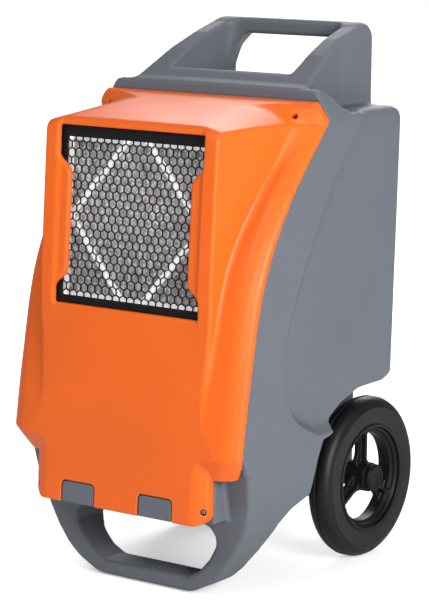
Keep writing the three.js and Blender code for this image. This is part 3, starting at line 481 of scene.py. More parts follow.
GREY = (0.118, 0.131, 0.154)
ORANGE = (0.80, 0.128, 0.010)


class Finish:
    """A node material: a Principled shader with helpers to vary its colour, roughness and relief."""

    def __init__(self, name, colour, roughness, metallic=0.0):
        self.material = bpy.data.materials.new(name)
        self.material.use_nodes = True
        self.tree = self.material.node_tree
        self.shader = self.tree.nodes["Principled BSDF"]
        self.shader.inputs["Base Color"].default_value = (*colour, 1)
        self.shader.inputs["Roughness"].default_value = roughness
        self.shader.inputs["Metallic"].default_value = metallic
        self.shader.inputs["Specular IOR Level"].default_value = 0.3
        self.colour = None
        self.rest_colour = colour
        self.relief = None
        self.place = self.node("ShaderNodeTexCoord").outputs["Object"]

    def node(self, kind, **settings):
        made = self.tree.nodes.new(kind)
        for key, value in settings.items():
            setattr(made, key, value)
        return made

    def link(self, source, target):
        self.tree.links.new(source, target)

    def noise(self, scale, detail):
        noise = self.node("ShaderNodeTexNoise")
        noise.inputs["Scale"].default_value = scale
        noise.inputs["Detail"].default_value = detail
        self.link(self.place, noise.inputs["Vector"])
        return noise.outputs["Fac"]

    def ramp(self, source, low, high):
        """A value that runs from 0 to 1 as the source runs from low to high."""
        node = self.node("ShaderNodeMapRange", clamp=True)
        self.link(source, node.inputs["Value"])
        node.inputs["From Min"].default_value = low
        node.inputs["From Max"].default_value = high
        return node.outputs["Result"]

    def tint(self, colour, mask, strength=1.0):
        """Mixes a colour over what is there, where the mask is high."""
        mix = self.node("ShaderNodeMix", data_type="RGBA")
        if self.colour is None:
            mix.inputs["A"].default_value = (*self.rest_colour, 1)
        else:
            self.link(self.colour, mix.inputs["A"])
        mix.inputs["B"].default_value = (*colour, 1)
        scaled = self.node("ShaderNodeMath", operation="MULTIPLY", use_clamp=True)
        self.link(mask, scaled.inputs[0])
        scaled.inputs[1].default_value = strength
        self.link(scaled.outputs[0], mix.inputs["Factor"])
        self.colour = mix.outputs["Result"]
        self.link(self.colour, self.shader.inputs["Base Color"])
        return self

    def vary_roughness(self, mask, low, high):
        node = self.node("ShaderNodeMapRange")
        self.link(mask, node.inputs["Value"])
        node.inputs["To Min"].default_value = low
        node.inputs["To Max"].default_value = high
        self.link(node.outputs["Result"], self.shader.inputs["Roughness"])
        return self

    def bump(self, height, distance, strength=1.0):
        node = self.node("ShaderNodeBump")
        node.inputs["Strength"].default_value = strength
        node.inputs["Distance"].default_value = distance
        self.link(height, node.inputs["Height"])
        if self.relief is not None:
            self.link(self.relief, node.inputs["Normal"])
        self.relief = node.outputs["Normal"]
        self.link(self.relief, self.shader.inputs["Normal"])
        return self

    def edges(self):
        """High on convex edges."""
        return self.ramp(self.node("ShaderNodeNewGeometry").outputs["Pointiness"], 0.52, 0.60)

    def gap_shade(self, reach):
        """High where another surface is closer than the reach, as in the gap between two mouldings: the mask
        for painted shade.
        """
        near = self.node("ShaderNodeAmbientOcclusion", samples=8)
        near.inputs["Distance"].default_value = reach
        return self.ramp(near.outputs["AO"], 0.72, 0.30)


def shade(colour, factor):
    return tuple(min(1.0, c * factor) for c in colour)


def moulded_plastic(name, colour, roughness):
    """Rotationally moulded plastic: a fine orange-peel skin, cloudy colour, scuffs, worn edges and painted
    shade in the gaps between mouldings.
    """
    finish = Finish(name, colour, roughness)
    finish.tint(shade(colour, 0.86), finish.ramp(finish.noise(7, 4), 0.35, 0.75), 0.55)
    finish.tint(shade(colour, 1.18), finish.edges(), 0.4)
    finish.tint((0.28, 0.25, 0.22), finish.ramp(finish.noise(3, 6), 0.60, 0.85), 0.10)
    # Painted shade: near black is mixed in where another surface is close, so the gaps between mouldings read
    # as dark shadow lines.
    finish.tint((0.012, 0.010, 0.010), finish.gap_shade(0.008), 0.9)
    finish.vary_roughness(finish.noise(22, 5), roughness - 0.07, roughness + 0.09)
    finish.bump(finish.noise(420, 2), 0.00012, 0.5)
    finish.bump(finish.noise(38, 3), 0.0008, 0.10)
    return finish.material


def painted_metal(name, colour, roughness):
    """Powder coat or enamel over sheet: a fine stipple with bare metal on the sharpest edges."""
    finish = Finish(name, colour, roughness)
    finish.tint((0.32, 0.32, 0.33), finish.edges(), 0.25)
    finish.tint((0.20, 0.18, 0.16), finish.ramp(finish.noise(9, 5), 0.62, 0.82), 0.12)
    finish.vary_roughness(finish.noise(60, 3), roughness - 0.08, roughness + 0.10)
    finish.bump(finish.noise(900, 2), 0.00006, 0.6)
    return finish.material


def hard_plastic(name, colour, roughness):
    """Injection moulded plastic with a fine spark-eroded texture."""
    finish = Finish(name, colour, roughness)
    finish.shader.inputs["Specular IOR Level"].default_value = 0.14
    finish.tint(shade(colour, 2.4), finish.edges(), 0.35)
    finish.tint(shade(colour, 1.7), finish.ramp(finish.noise(14, 5), 0.5, 0.8), 0.3)
    finish.vary_roughness(finish.noise(45, 4), roughness - 0.08, roughness + 0.12)
    finish.bump(finish.noise(1400, 2), 0.00005, 0.6)
    return finish.material


def rubber(name, colour, roughness):
    """Rubber: matt, a little dusty, with a fine pitted skin."""
    finish = Finish(name, colour, roughness)
    finish.tint((0.05, 0.049, 0.047), finish.ramp(finish.noise(8, 6), 0.45, 0.8), 0.10)
    finish.vary_roughness(finish.noise(30, 4), roughness - 0.10, roughness + 0.12)
    finish.bump(finish.noise(650, 3), 0.0001, 0.5)
    return finish.material


def sheet_metal(name, colour, roughness, spangle=0.0):
    """Plated or galvanised metal: smudges, a fine grain and, on galvanised sheet, a spangle."""
    finish = Finish(name, colour, roughness, 1.0)
    finish.tint(shade(colour, 0.72), finish.ramp(finish.noise(18, 4), 0.4, 0.8), 0.5)
    if spangle:
        cells = finish.node("ShaderNodeTexVoronoi")
        cells.inputs["Scale"].default_value = spangle
        finish.link(finish.place, cells.inputs["Vector"])
        finish.tint(shade(colour, 0.8), cells.outputs["Color"], 0.5)
    finish.vary_roughness(finish.noise(200, 3), roughness - 0.08, roughness + 0.14)
    finish.bump(finish.noise(320, 2), 0.00008, 0.35)
    return finish.material


def copper(name):
    finish = Finish(name, (0.72, 0.32, 0.18), 0.32, 1.0)
    finish.tint((0.30, 0.13, 0.07), finish.ramp(finish.noise(30, 5), 0.45, 0.75), 0.6)
    finish.vary_roughness(finish.noise(90, 3), 0.22, 0.48)
    finish.bump(finish.noise(500, 2), 0.00005, 0.4)
    return finish.material


def filter_cloth(name):
    """Layered metal-mesh filter: silver grey with a crossed weave, faint warm stains in patches and painted
    highlights in white specks.
    """
    finish = Finish(name, (0.60, 0.585, 0.595), 0.5)
    finish.tint((0.56, 0.32, 0.36), finish.ramp(finish.noise(12, 4), 0.50, 0.74), 0.4)
    finish.tint((0.22, 0.215, 0.22), finish.ramp(finish.noise(90, 3), 0.50, 0.68), 0.6)
    # Painted highlights: white specks that stand in for the light caught in the mesh cells.
    finish.tint((1, 1, 1), finish.ramp(finish.noise(150, 2), 0.50, 0.58), 0.85)
    for angle in (45, -45):
        turn = finish.node("ShaderNodeMapping")
        turn.inputs["Rotation"].default_value = (0, math.radians(angle), 0)
        finish.link(finish.place, turn.inputs["Vector"])
        wave = finish.node("ShaderNodeTexWave", bands_direction="X")
        wave.inputs["Scale"].default_value = 260
        wave.inputs["Distortion"].default_value = 1.2
        finish.link(turn.outputs["Vector"], wave.inputs["Vector"])
        finish.bump(wave.outputs["Fac"], 0.0004, 0.6)
    finish.vary_roughness(finish.noise(60, 3), 0.45, 0.8)
    return finish.material


def coil_fins(name):
    """Stacked aluminium fins: thin upright lines, with painted shade in the gaps between them."""
    finish = Finish(name, (0.72, 0.73, 0.74), 0.38, 1.0)
    wave = finish.node("ShaderNodeTexWave", bands_direction="X")
    wave.inputs["Scale"].default_value = 170
    finish.link(finish.place, wave.inputs["Vector"])
    # Painted shade: dark bands for the shade in the gaps between the fins.
    finish.tint((0.05, 0.05, 0.05), finish.ramp(wave.outputs["Fac"], 0.75, 0.45), 0.85)
    finish.tint((0.55, 0.5, 0.42), finish.ramp(finish.noise(20, 5), 0.5, 0.8), 0.4)
    finish.bump(wave.outputs["Fac"], 0.0006, 0.8)
    return finish.material


def glowing_strip(name):
    """Bright creased strip. It glows a little, so that it stays light in the shade of the window."""
    finish = Finish(name, (1, 1, 1), 0.24, 0.1)
    finish.shader.inputs["Specular IOR Level"].default_value = 0.9
    # Painted light: the strip glows though it is no lamp.
    finish.shader.inputs["Emission Color"].default_value = (1, 1, 1, 1)
    finish.shader.inputs["Emission Strength"].default_value = 0.35
    finish.tint((0.80, 0.80, 0.82), finish.ramp(finish.noise(70, 3), 0.54, 0.68), 0.5)
    finish.bump(finish.noise(90, 3), 0.0015, 0.7)
    finish.vary_roughness(finish.noise(150, 2), 0.16, 0.4)
    return finish.material


FINISHES = {
    "grey_body": moulded_plastic("grey_plastic", GREY, 0.52),
    "orange_cover": moulded_plastic("orange_plastic", ORANGE, 0.42),
    "black_plastic": hard_plastic("black_plastic", (0.007, 0.007, 0.0075), 0.50),
    "black_mesh": painted_metal("black_powder_coat", (0.006, 0.006, 0.006), 0.55),
    "filter_media": filter_cloth("filter_mesh"),
    "bright_steel": glowing_strip("bright_strip"),
    "zinc_steel": sheet_metal("zinc_plated", (0.30, 0.28, 0.26), 0.38),
    "fin_aluminium": coil_fins("fin_stack"),
    "copper": copper("drawn_copper"),
    "galvanised": sheet_metal("galvanised_sheet", (0.50, 0.51, 0.52), 0.42, spangle=60),
    "compressor_black": painted_metal("black_enamel", (0.015, 0.015, 0.016), 0.30),
    "rubber_black": rubber("black_rubber", (0.018, 0.018, 0.018), 0.62),
    "tyre_black": rubber("tyre_rubber", (0.004, 0.004, 0.0042), 0.46),
    "rim_black": hard_plastic("rim_plastic", (0.008, 0.008, 0.0085), 0.38),
    "switch_red": hard_plastic("red_plastic", (0.50, 0.02, 0.015), 0.32),
    "white_plastic": hard_plastic("white_plastic", (0.68, 0.68, 0.66), 0.42),
}

SLOT_OF = {
    "black_plastic": ["grille_frame", "outlet_grille", "control_panel", "hour_meter", "cord_hook_right",
                      "cord_hook_left", "cable_gland", "fan_impeller", "fan_motor", "pump_head"],
    "fin_aluminium": ["evaporator_fins", "condenser_fins"],
    "copper": ["evaporator_tube", "condenser_tube", "filter_drier", "discharge_line", "liquid_line",
               "expansion_line", "suction_line"],
    "galvanised": ["coil_casing", "drain_pan", "chassis_deck", "fan_shroud", "motor_bracket", "control_box",
                   "axle_spacer_right", "axle_spacer_left"],
    "zinc_steel": ["axle"],
    "compressor_black": ["compressor", "accumulator"],
    "rubber_black": ["compressor_grommet_1", "compressor_grommet_2", "compressor_grommet_3", "drain_hose",
                     "outlet_hose"],
    "switch_red": ["power_switch"],
    "white_plastic": ["purge_button", "pump_reservoir", "pump_float", "wheel_bush_right", "wheel_bush_left"],
}


def dress(piece, slot):
    piece.data.materials.clear()
    piece.data.materials.append(FINISHES[slot])


def bevel_edges(piece, width, segments, sharp):
    modifier = piece.modifiers.new("edges", "BEVEL")
    modifier.width = width * MM
    modifier.segments = segments
    modifier.limit_method = "ANGLE"
    modifier.angle_limit = math.radians(sharp)
    modifier.harden_normals = True


def keep_cad_nodes():
    """The CAD solids that stay: smooth shading, a small bevel on their sharp edges, and a finish."""
    for slot, names in SLOT_OF.items():
        for name in names:
            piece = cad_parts[name]
            piece.data.polygons.foreach_set("use_smooth", [True] * len(piece.data.polygons))
            bevel_edges(piece, 0.6, 2, 35)
            dress(piece, slot)


# ---------- mesh helpers ----------


def give(piece, slot, body, *nodes):
    """Finishes a piece: its material, the body it rides on and the CAD nodes that it stands for."""
    dress(piece, slot)
    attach(piece, body)
    if nodes:
        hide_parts(*nodes)
    return piece


def piece_of(name, mesh_builder, bevel=0.0, sharp=35):
    """An object from a bmesh in millimetres, smooth shaded, with its sharp edges bevelled."""
    bmesh.ops.remove_doubles(mesh_builder, verts=mesh_builder.verts, dist=1e-4)
    bmesh.ops.recalc_face_normals(mesh_builder, faces=mesh_builder.faces)
    for vertex in mesh_builder.verts:
        vertex.co = to_world(vertex.co)
    mesh = bpy.data.meshes.new(name)
    mesh_builder.to_mesh(mesh)
    mesh_builder.free()
    mesh.shade_smooth()
    piece = add_object(name, mesh)
    if bevel:
        bevel_edges(piece, bevel, 3, sharp)
    return piece


def frame_of(axis):
    """Two directions square to an axis."""
    axis = Vector(axis).normalized()
    side = axis.orthogonal().normalized()
    return axis, side, axis.cross(side)


def ring_of(builder, middle, side, up, radius, count):
    angles = (2 * math.pi * k / count for k in range(count))
    return [builder.verts.new(middle + (side * math.cos(t) + up * math.sin(t)) * radius) for t in angles]


def add_turned(builder, profile, centre, axis, segments=64):
    """Revolves a closed profile of (radius, distance) points; points on the axis close the ends."""
    axis, side, up = frame_of(axis)
    rings = []
    for radius, along in profile:
        middle = Vector(centre) + axis * along
        if radius < 1e-6:
            rings.append([builder.verts.new(middle)] * segments)
            continue
        rings.append(ring_of(builder, middle, side, up, radius, segments))
    for ring, following in zip(rings, rings[1:] + rings[:1]):
        for k in range(segments):
            corners = [ring[k], ring[k - 1], following[k - 1], following[k]]
            distinct = list(dict.fromkeys(corners))
            if len(distinct) > 2:
                builder.faces.new(distinct)


def turned(name, profile, centre, axis, segments=64, bevel=0.5):
    builder = bmesh.new()
    add_turned(builder, profile, centre, axis, segments)
    return piece_of(name, builder, bevel, 28)


def add_block(builder, low, high, turn=None):
    """A box between two corners, turned by a matrix if one is given."""
    made = bmesh.ops.create_cube(builder, size=1)["verts"]
    for vertex in made:
        for i in range(3):
            vertex.co[i] = low[i] + (vertex.co[i] + 0.5) * (high[i] - low[i])
        if turn is not None:
            vertex.co = turn @ vertex.co


def bent_line(corners, bend, steps=7):
    """Straight runs joined by round corners."""
    points = [Vector(corner) for corner in corners]
    made = [points[0]]
    for before, here, after in zip(points, points[1:], points[2:]):
        back, on = before - here, after - here
        reach = min(bend, back.length / 2.1, on.length / 2.1)
        start, end = here + back.normalized() * reach, here + on.normalized() * reach
        for k in range(steps + 1):
            t = k / steps
            made.append(start.lerp(here, t).lerp(here.lerp(end, t), t))
    return [*made, points[-1]]


def add_tube(builder, line, radius, sides=20):
    """A round tube along a line, closed at both ends."""
    rings = []
    side = None
    for i, point in enumerate(line):
        ahead = line[min(i + 1, len(line) - 1)] - line[max(i - 1, 0)]
        if ahead.length < 1e-6:
            continue
        axis = ahead.normalized()
        side = axis.orthogonal() if side is None else side - axis * side.dot(axis)
        side.normalize()
        rings.append(ring_of(builder, point, side, axis.cross(side), radius, sides))
    for ring, following in zip(rings, rings[1:]):
        for k in range(sides):
            builder.faces.new([ring[k - 1], ring[k], following[k], following[k - 1]])
    builder.faces.new(rings[0])
    builder.faces.new(rings[-1][::-1])


# ---------- shells, screws and the window ----------


def shells():
    low = (-BAND_HALF, FRONT_Y, 0)
    body = field_mesh("body", body_field, low, (BAND_HALF, REAR_Y, HANDLE_TOP_Z), 4.8)
    give(body, "grey_body", "housing", "body_shell")
    for side, word in SIDES:
        near, far = sorted((side * NOTCH[0], side * NOTCH[1]))

        def placed(x, y, z, side=side):
            return tab_field(side * x, y, z)

        low, high = (near, FRONT_Y, COVER_BOTTOM_Z), (far, -382, NOTCH[2])
        tab = field_mesh(f"body_tab_{word}", placed, low, high, 1.6)
        give(tab, "grey_body", "housing", "body_shell")
    cover = field_mesh("cover", cover_field, (-BAND_HALF, FRONT_Y - 6, COVER_BOTTOM_Z),
                       (BAND_HALF, COVER_REAR_Y, COVER_TOP_Z), 2.6)
    give(cover, "orange_cover", "housing", "front_cover")


def cover_screws():
    """Pan-headed screws with a cross recess, and a washer pressed under each head."""
    for (at, out), place in zip(SCREW_SEATS, ("top", "bottom")):
        for side, word in SIDES:
            axis = Vector((side * out[0], out[1], out[2])).normalized()
            centre = Vector((side * at[0], at[1], at[2])) - axis * 5.3
            builder = bmesh.new()
            add_turned(builder, [(0, -15), (2.6, -15), (2.6, 0), (4.3, 0), (4.3, 0.8), (4.0, 1.8),
                                 (3.2, 2.7), (1.6, 3.0), (1.3, 1.6), (0, 1.4)], centre, axis, 32)
            _, across, up = frame_of(axis)
            for arm in (across, up):
                basis = Matrix((arm, axis.cross(arm), axis)).transposed().to_4x4()
                turn = Matrix.Translation(centre) @ basis
                add_block(builder, (-2.4, -0.3, 1.8), (2.4, 0.3, 3.05), turn)
            screw = piece_of(f"screw_{place}_{word}", builder, 0.25)
            give(screw, "zinc_steel", "housing", f"cover_screw_{place}_{word}")


PACK_Z = (WINDOW_TOP_Z + WINDOW_BOTTOM_Z) / 2
MESH_HALF = 128
MESH_LOW, MESH_HIGH = -121, 116


def pack_point(x, depth, z):
    """A point behind the window: across, deep from the leaning face, and up from its middle."""
    lean_cos, lean_sin = math.cos(FACE_LEAN), math.sin(FACE_LEAN)
    y = face_y(PACK_Z) + depth * lean_cos + z * lean_sin
    return Vector((x, y, PACK_Z - depth * lean_sin + z * lean_cos))


def into_pack(builder):
    for vertex in builder.verts:
        vertex.co = pack_point(*vertex.co)


def intake_grille():
    """Expanded honeycomb: each cell is a ring between its own hexagon and a smaller one."""
    pitch, strand, front, back = 13.6, 1.7, 14.3, 16.5
    side = pitch / math.sqrt(3)
    builder = bmesh.new()
    for row in range(-11, 12):
        for column in range(-10, 11):
            x = (column + (row % 2) / 2) * pitch
            z = row * 1.5 * side + (MESH_LOW + MESH_HIGH) / 2
            if abs(x) > MESH_HALF + 5 or not MESH_LOW - 7 < z < MESH_HIGH + 7:
                continue
            rings = []
            for reach in (side, side - strand / math.sqrt(3)):
                angles = (math.radians(60 * k + 30) for k in range(6))
                rings.append([builder.verts.new((x + reach * math.cos(t), back, z + reach * math.sin(t)))
                              for t in angles])
            for k in range(6):
                builder.faces.new([rings[0][k - 1], rings[0][k], rings[1][k], rings[1][k - 1]])
    bmesh.ops.remove_doubles(builder, verts=builder.verts, dist=0.05)
    raised = bmesh.ops.extrude_face_region(builder, geom=builder.faces[:])
    for item in raised["geom"]:
        if isinstance(item, bmesh.types.BMVert):
            item.co.y = front
    into_pack(builder)
    give(piece_of("honeycomb_grille", builder, 0.35), "black_mesh", "housing", "intake_grille")


def filter_pack():
    """The pleated filter, and the bright strips that clamp it round its edge and across its face."""
    builder = bmesh.new()
    low, high, half = MESH_LOW - 6, MESH_HIGH + 6, 134
    columns = 268
    front, back = [], []
    for k in range(columns + 1):
        x = -half + 2 * half * k / columns
        depth = 23.2 + 1.7 * math.sin(2 * math.pi * x / 9.5)
        front.append([builder.verts.new((x, depth, z)) for z in (low, high)])
        back.append([builder.verts.new((x, 29, z)) for z in (low, high)])
    for k in range(columns):
        for sheet in (front, back):
            builder.faces.new([sheet[k][0], sheet[k + 1][0], sheet[k + 1][1], sheet[k][1]])
        for end in (0, 1):
            builder.faces.new([front[k][end], front[k + 1][end], back[k + 1][end], back[k][end]])
    for k in (0, columns):
        builder.faces.new([front[k][0], front[k][1], back[k][1], back[k][0]])
    into_pack(builder)
    give(piece_of("filter_pleats", builder), "filter_media", "housing", "air_filter")

    builder = bmesh.new()
    width, thick = 9, (18.0, 20.6)
    half, top, bottom = MESH_HALF - 1, MESH_HIGH - 1, MESH_LOW + 1
    rim = [(-half, bottom), (half, bottom), (half, top), (-half, top)]
    middle = (top + bottom) / 2
    right = [(20, bottom), (123, middle), (20, top)]
    left = [(-x, z) for x, z in right]
    for corners in ([*rim, rim[0]], right, left):
        for (x0, z0), (x1, z1) in zip(corners, corners[1:]):
            run = Vector((x1 - x0, 0, z1 - z0))
            turn = Matrix.Rotation(-math.atan2(run.z, run.x), 4, "Y")
            place = Matrix.Translation((x0, 0, z0)) @ turn
            low = (-width / 2, thick[0], -width / 2)
            high = (run.length + width / 2, thick[1], width / 2)
            add_block(builder, low, high, place)
    into_pack(builder)
    give(piece_of("retainer_strips", builder, 0.8), "bright_steel", "housing", "filter_retainer")


# ---------- wheels ----------


def rim_field(axial, u, v):
    """Barrel, hub and three flared spokes with a rib, all with moulded fillets."""
    radius = np.hypot(u, v)
    bore = 70 + 4.5 * smooth_step((np.abs(axial) - 8) / 4) + 3 * smooth_step((np.abs(axial) - 14) / 3)
    rim = meet(np.maximum(radius - 80, bore - radius), np.abs(axial) - 18, 1.5)
    turn = np.arctan2(u, v)
    turn = (turn + math.pi / 3) % (2 * math.pi / 3) - math.pi / 3
    across, along = radius * np.sin(turn), radius * np.cos(turn)
    half = 10 + 9 * smooth_step((along - 48) / 30) + 5 * smooth_step((38 - along) / 14)
    spoke = meet(np.abs(across) - half, np.abs(axial + 3) - 4, 2)
    rib = meet(np.abs(across) - 3, np.abs(axial) - 10, 1.5)
    spoke = join(spoke, rib, 3)
    spoke = meet(spoke, radius - 78, 0)
    spoke = np.maximum(spoke, -along)
    hub = meet(radius - 23, np.abs(axial) - 19, 2)
    whole = join(join(rim, spoke, 5), hub, 5)
    return cut(whole, radius - 12.3, 0.5)


def wheel(side, word):
    body = "wheel_" + word
    tyre = "tyre_" + word
    low, high = span(tyre, 0)
    centre = (centre_of(tyre, 0), 0, AXLE_Z)
    half = (high - low) / 2
    radius = (span(tyre, 2)[1] - span(tyre, 2)[0]) / 2

    section = spline([(80.4, -half + 4), (88, -half + 1.6), (100, -half + 0.8), (111, -half + 0.2)], 8)
    section += spline([(113, -half + 1.6), (119, -half + 4), (124, -half + 9), (radius, -half + 16)], 10)
    mirror = [(r, -a) for r, a in reversed(section)]
    groove = [(radius, -3.2), (radius - 1.5, -2.4), (radius - 1.5, 2.4), (radius, 3.2)]
    lip = [(85, half - 1.4), (83, half - 0.2), (80.4, half - 1)]
    profile = [*section, *groove, *mirror[:-1], *lip, (80.4, half - 4)]
    give(turned(f"tyre_ring_{word}", profile, centre, (side, 0, 0), 128, 0.4), "tyre_black", body, tyre)

    def placed(x, y, z):
        return rim_field((x - centre[0]) * side, y, z - AXLE_Z)

    rim = field_mesh(f"rim_casting_{word}", placed, (low, -81, AXLE_Z - 81), (high, 81, AXLE_Z + 81),
                     1.6)
    give(rim, "rim_black", body, "rim_" + word)

    cap_low, cap_high = (abs(x) for x in sorted(span("hub_cap_" + word, 0), key=abs))
    cap = [(0, cap_low + 5.4), (8.4, cap_low + 5.4), (8.4, cap_low), (21.5, cap_low), (21.5, cap_high - 3),
           (19.5, cap_high - 0.6), (17, cap_high), (15.5, cap_high - 0.7), (0, cap_high - 0.7)]
    give(turned(f"hub_button_{word}", cap, (0, 0, AXLE_Z), (side, 0, 0), 64, 0.6), "black_plastic", "housing",
         "hub_cap_" + word)


# ---------- the back: outlet, controls, lead and drain ----------


def outlet_guard():
    """Round wire guard: rings on radial bars inside a moulded rim."""
    y0 = REAR_Y + 0.3
    centre = (0, 0, centre_of("outlet_grille", 2))
    back = (0, 1, 0)
    edge = (span("outlet_grille", 0)[1] - span("outlet_grille", 0)[0]) / 2
    builder = bmesh.new()
    add_turned(builder, [(edge - 13, y0), (edge, y0), (edge, y0 + 1.5), (edge - 2.5, y0 + 4.6),
                         (edge - 10, y0 + 5), (edge - 13, y0 + 3.5)], centre, back, 96)
    rings = 12
    wire = 1.3
    for k in range(1, rings + 1):
        radius = (edge - 12) * k / (rings + 0.4)
        section = [(radius + wire * math.cos(t), y0 + 2.6 + wire * math.sin(t))
                   for t in (2 * math.pi * i / 8 for i in range(8))]
        add_turned(builder, section, centre, back, 72)
    for k in range(12):
        turn = Matrix.Translation(centre) @ Matrix.Rotation(math.radians(30 * k), 4, "Y")
        add_block(builder, (-1.6, y0 + 0.2, 10), (1.6, y0 + 2.4, edge - 6), turn)
    add_turned(builder, [(0, y0 + 0.2), (17, y0 + 0.2), (17, y0 + 3), (14, y0 + 4.8), (0, y0 + 4.8)],
               centre, back, 48)
    give(piece_of("outlet_guard", builder, 0.3, 40), "black_plastic", "housing", "outlet_grille")


def knob_field(x, y, z, centre, face):
    across, up = x - centre[0], z - centre[1]
    radius = np.hypot(across, up)
    angle = np.arctan2(across, up)
    skirt = meet(radius - 17.6, np.maximum(face + 1 - y, y - face - 5), 1)
    draw = 13.6 - 0.06 * (y - face - 5) + 0.45 * np.cos(20 * angle)
    grip = meet(radius - draw, np.maximum(face + 1 - y, y - face - 16.6), 1.4)
    pointer = meet(np.abs(across) - 1.5, np.maximum(2 - up, up - 15.2), 0.6)
    pointer = meet(pointer, np.maximum(face + 7 - y, y - face - 18.4), 0.5)
    stem = meet(radius - 3.6, np.maximum(face - 7 - y, y - face - 4), 0.3)
    return join(join(join(skirt, grip, 1.2), pointer, 0.5), stem, 0.2)


def controls():
    face = span("control_panel", 1)[1]
    centre = (centre_of("humidistat_knob", 0), centre_of("control_panel", 2))
    left, right = span("humidistat_knob", 0)

    def placed(x, y, z):
        return knob_field(x, y, z, centre, face)

    low, high = (left, face - 7, centre[1] - 18), (right, face + 19, centre[1] + 18)
    knob = field_mesh("dial_knob", placed, low, high, 0.6)
    give(knob, "black_plastic", "knob", "humidistat_knob")

    # Raised marks round the dial, one for each tenth of its travel.
    builder = bmesh.new()
    for k in range(11):
        turn = Matrix.Translation((centre[0], 0, centre[1])) @ Matrix.Rotation(math.radians(27 * k), 4, "Y")
        length = 5.5 if k % 5 == 0 else 3.5
        add_block(builder, (-0.5, face, 20), (0.5, face + 0.4, 20 + length), turn)
    give(piece_of("dial_marks", builder, 0.1), "white_plastic", "housing")


PLUG_X = 20
PLUG_Z = 240


def mains_lead():
    """The lead winds three times round the hooks and hangs down to its moulded plug."""
    hook_x = centre_of("cord_hook_right", 0) - 2
    hook_z = centre_of("cord_hook_right", 2)
    radius = 4.5
    half = hook_x + 14
    rise, turns = 14, 3
    pitch = 2 * radius + 0.8
    first = REAR_Y + 8 + radius
    corners = [(CORD_X, REAR_Y - 20, PORT_Z), (CORD_X, REAR_Y + 26, PORT_Z), (half + 22, first, hook_z - 30)]
    for turn in range(turns):
        y = first + turn * pitch
        corners += [(-half, y, hook_z - rise), (-half, y + pitch / 2, hook_z + rise),
                    (half, y + pitch / 2, hook_z + rise), (half, y + pitch, hook_z - rise)]
    last = first + turns * pitch
    corners += [(PLUG_X, last, hook_z - rise), (PLUG_X, last, PLUG_Z + 42)]
    builder = bmesh.new()
    add_tube(builder, bent_line(corners, 16), radius)
    give(piece_of("lead", builder), "rubber_black", "housing", "power_cord")

    builder = bmesh.new()
    ribs = [(7.4 + 1.1 * (k % 2), 25 + k * 2.1) for k in range(8)]
    up = (0, 0, 1)
    add_turned(builder, [(0, 0.5), (11, 0.5), (13, 2.5), (13, 16), (11, 22), *ribs, (0, 41)],
               (PLUG_X, last, PLUG_Z), up, 40)
    for x in (PLUG_X - 5, PLUG_X + 5):
        add_block(builder, (x - 0.8, last - 3.2, PLUG_Z - 18), (x + 0.8, last + 3.2, PLUG_Z + 1))
    earth = [(0, -19), (1.4, -19), (2.3, -17), (2.3, 1), (0, 1)]
    add_turned(builder, earth, (PLUG_X, last + 6, PLUG_Z), up, 20)
    give(piece_of("moulded_plug", builder, 0.3), "rubber_black", "housing", "power_plug")


def hose_tail():
    """Barbed hose tail with a hexagon flange."""
    centre = (centre_of("hose_connector", 0), 0, centre_of("hose_connector", 2))
    y = REAR_Y
    back = (0, 1, 0)
    builder = bmesh.new()
    flange = [(0, y - 13), (8.5, y - 13), (8.5, y + 0.3), (14.8, y + 0.3), (14.8, y + 1.6), (8, y + 2)]
    add_turned(builder, flange, centre, back, 48)
    nut = [(0, y + 1.7), (14.6, y + 1.7), (14.6, y + 8), (13, y + 9), (0, y + 9)]
    add_turned(builder, nut, centre, back, 6)
    barbs = []
    for k in range(3):
        start = y + 12 + 6.4 * k
        barbs += [(7, start), (9.3, start + 0.4), (7.4, start + 6)]
    tail = [(0, y + 8), (7, y + 8), *barbs, (6.4, y + 31.6), (4.6, y + 31.8), (4.6, y + 20), (0, y + 20)]
    add_turned(builder, tail, centre, back, 48)
    give(piece_of("hose_tail", builder, 0.3), "zinc_steel", "housing", "hose_connector")


# ---------- floor, light and camera ----------


def stage():
    bpy.ops.mesh.primitive_plane_add(size=30, location=(0, 0, 0))
    floor = bpy.context.object
    floor.name = "floor"
    paper = Finish("studio_floor", (0.90, 0.90, 0.90), 0.9)
    paper.shader.inputs["Emission Color"].default_value = (1, 1, 1, 1)
    distance = paper.node("ShaderNodeVectorMath", operation="LENGTH")
    paper.link(paper.place, distance.inputs[0])
    glow = paper.ramp(distance.outputs["Value"], 0.5, 4.0)
    glow.node.inputs["To Min"].default_value = 0.45
    seen = paper.node("ShaderNodeMath", operation="MULTIPLY")
    paper.link(glow, seen.inputs[0])
    paper.link(paper.node("ShaderNodeLightPath").outputs["Is Camera Ray"], seen.inputs[1])
    paper.link(seen.outputs[0], paper.shader.inputs["Emission Strength"])
    paper.tint((0.86, 0.86, 0.87), paper.noise(0.8, 2), 0.3)
    floor.data.materials.append(paper.material)


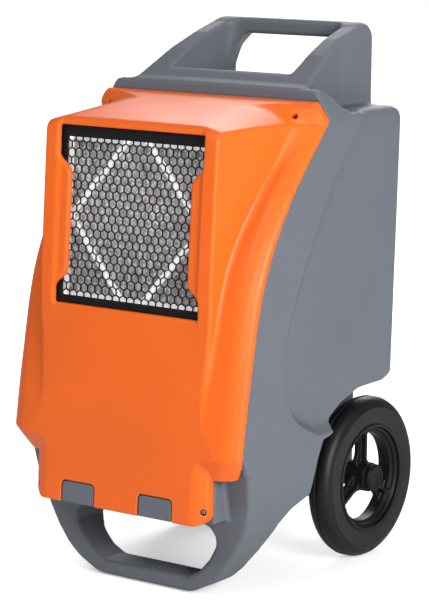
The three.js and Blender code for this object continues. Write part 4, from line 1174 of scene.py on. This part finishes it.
def outwards(azimuth, elevation):
    """Unit vector away from the object, for angles in degrees; azimuth 0 is straight ahead of it."""
    turn, rise = math.radians(azimuth), math.radians(elevation)
    return Vector((math.sin(turn) * math.cos(rise), -math.cos(turn) * math.cos(rise), math.sin(rise)))


def soft_light(name, direction, distance, size, power, colour):
    """A square lamp that looks at the middle of the object from a direction (azimuth, elevation)."""
    back = outwards(*direction)
    lamp = add_object(name, bpy.data.lights.new(name, "AREA"))
    lamp.data.size = size
    lamp.data.energy = power
    lamp.data.color = colour
    lamp.location = Vector((0, 0, 0.42)) + back * distance
    lamp.rotation_euler = (-back).to_track_quat("-Z", "Y").to_euler()


def lights():
    world = bpy.data.worlds.new("studio")
    world.use_nodes = True
    tree = world.node_tree
    background = tree.nodes["Background"]
    background.inputs["Color"].default_value = (1, 1, 1, 1)
    path = tree.nodes.new("ShaderNodeLightPath")
    strength = tree.nodes.new("ShaderNodeMapRange")
    strength.inputs["To Min"].default_value = 0.26
    strength.inputs["To Max"].default_value = 1.0
    tree.links.new(path.outputs["Is Camera Ray"], strength.inputs["Value"])
    tree.links.new(strength.outputs["Result"], background.inputs["Strength"])
    bpy.context.scene.world = world
    soft_light("key", (67, 17), 3.0, 1.2, 96, (1.0, 0.99, 0.97))
    soft_light("fill", (-10, 50), 3.4, 2.0, 42, (0.97, 0.98, 1.0))
    soft_light("back", (205, 32), 3.2, 1.8, 60, (1, 1, 1))


def camera():
    """The viewpoint: 36.6 degrees to the right of the front and 9.4 degrees above the level."""
    roll = math.radians(0.55)
    target = Vector(to_world((18, -200, 416)))
    back = outwards(36.57, 9.43)
    data = bpy.data.cameras.new("camera")
    data.lens = 149.0
    data.clip_end = 50
    made = add_object("camera", data)
    made.location = target + back * 3.805
    look = (-back).to_track_quat("-Z", "Y")
    made.rotation_mode = "QUATERNION"
    made.rotation_quaternion = look @ Matrix.Rotation(roll, 3, "Z").to_quaternion()
    bpy.context.scene.camera = made


keep_cad_nodes()
shells()
cover_screws()
intake_grille()
filter_pack()
for side, word in SIDES:
    wheel(side, word)
outlet_guard()
controls()
mains_lead()
hose_tail()
stage()
lights()
camera()
bpy.context.scene.view_settings.view_transform = "Standard"
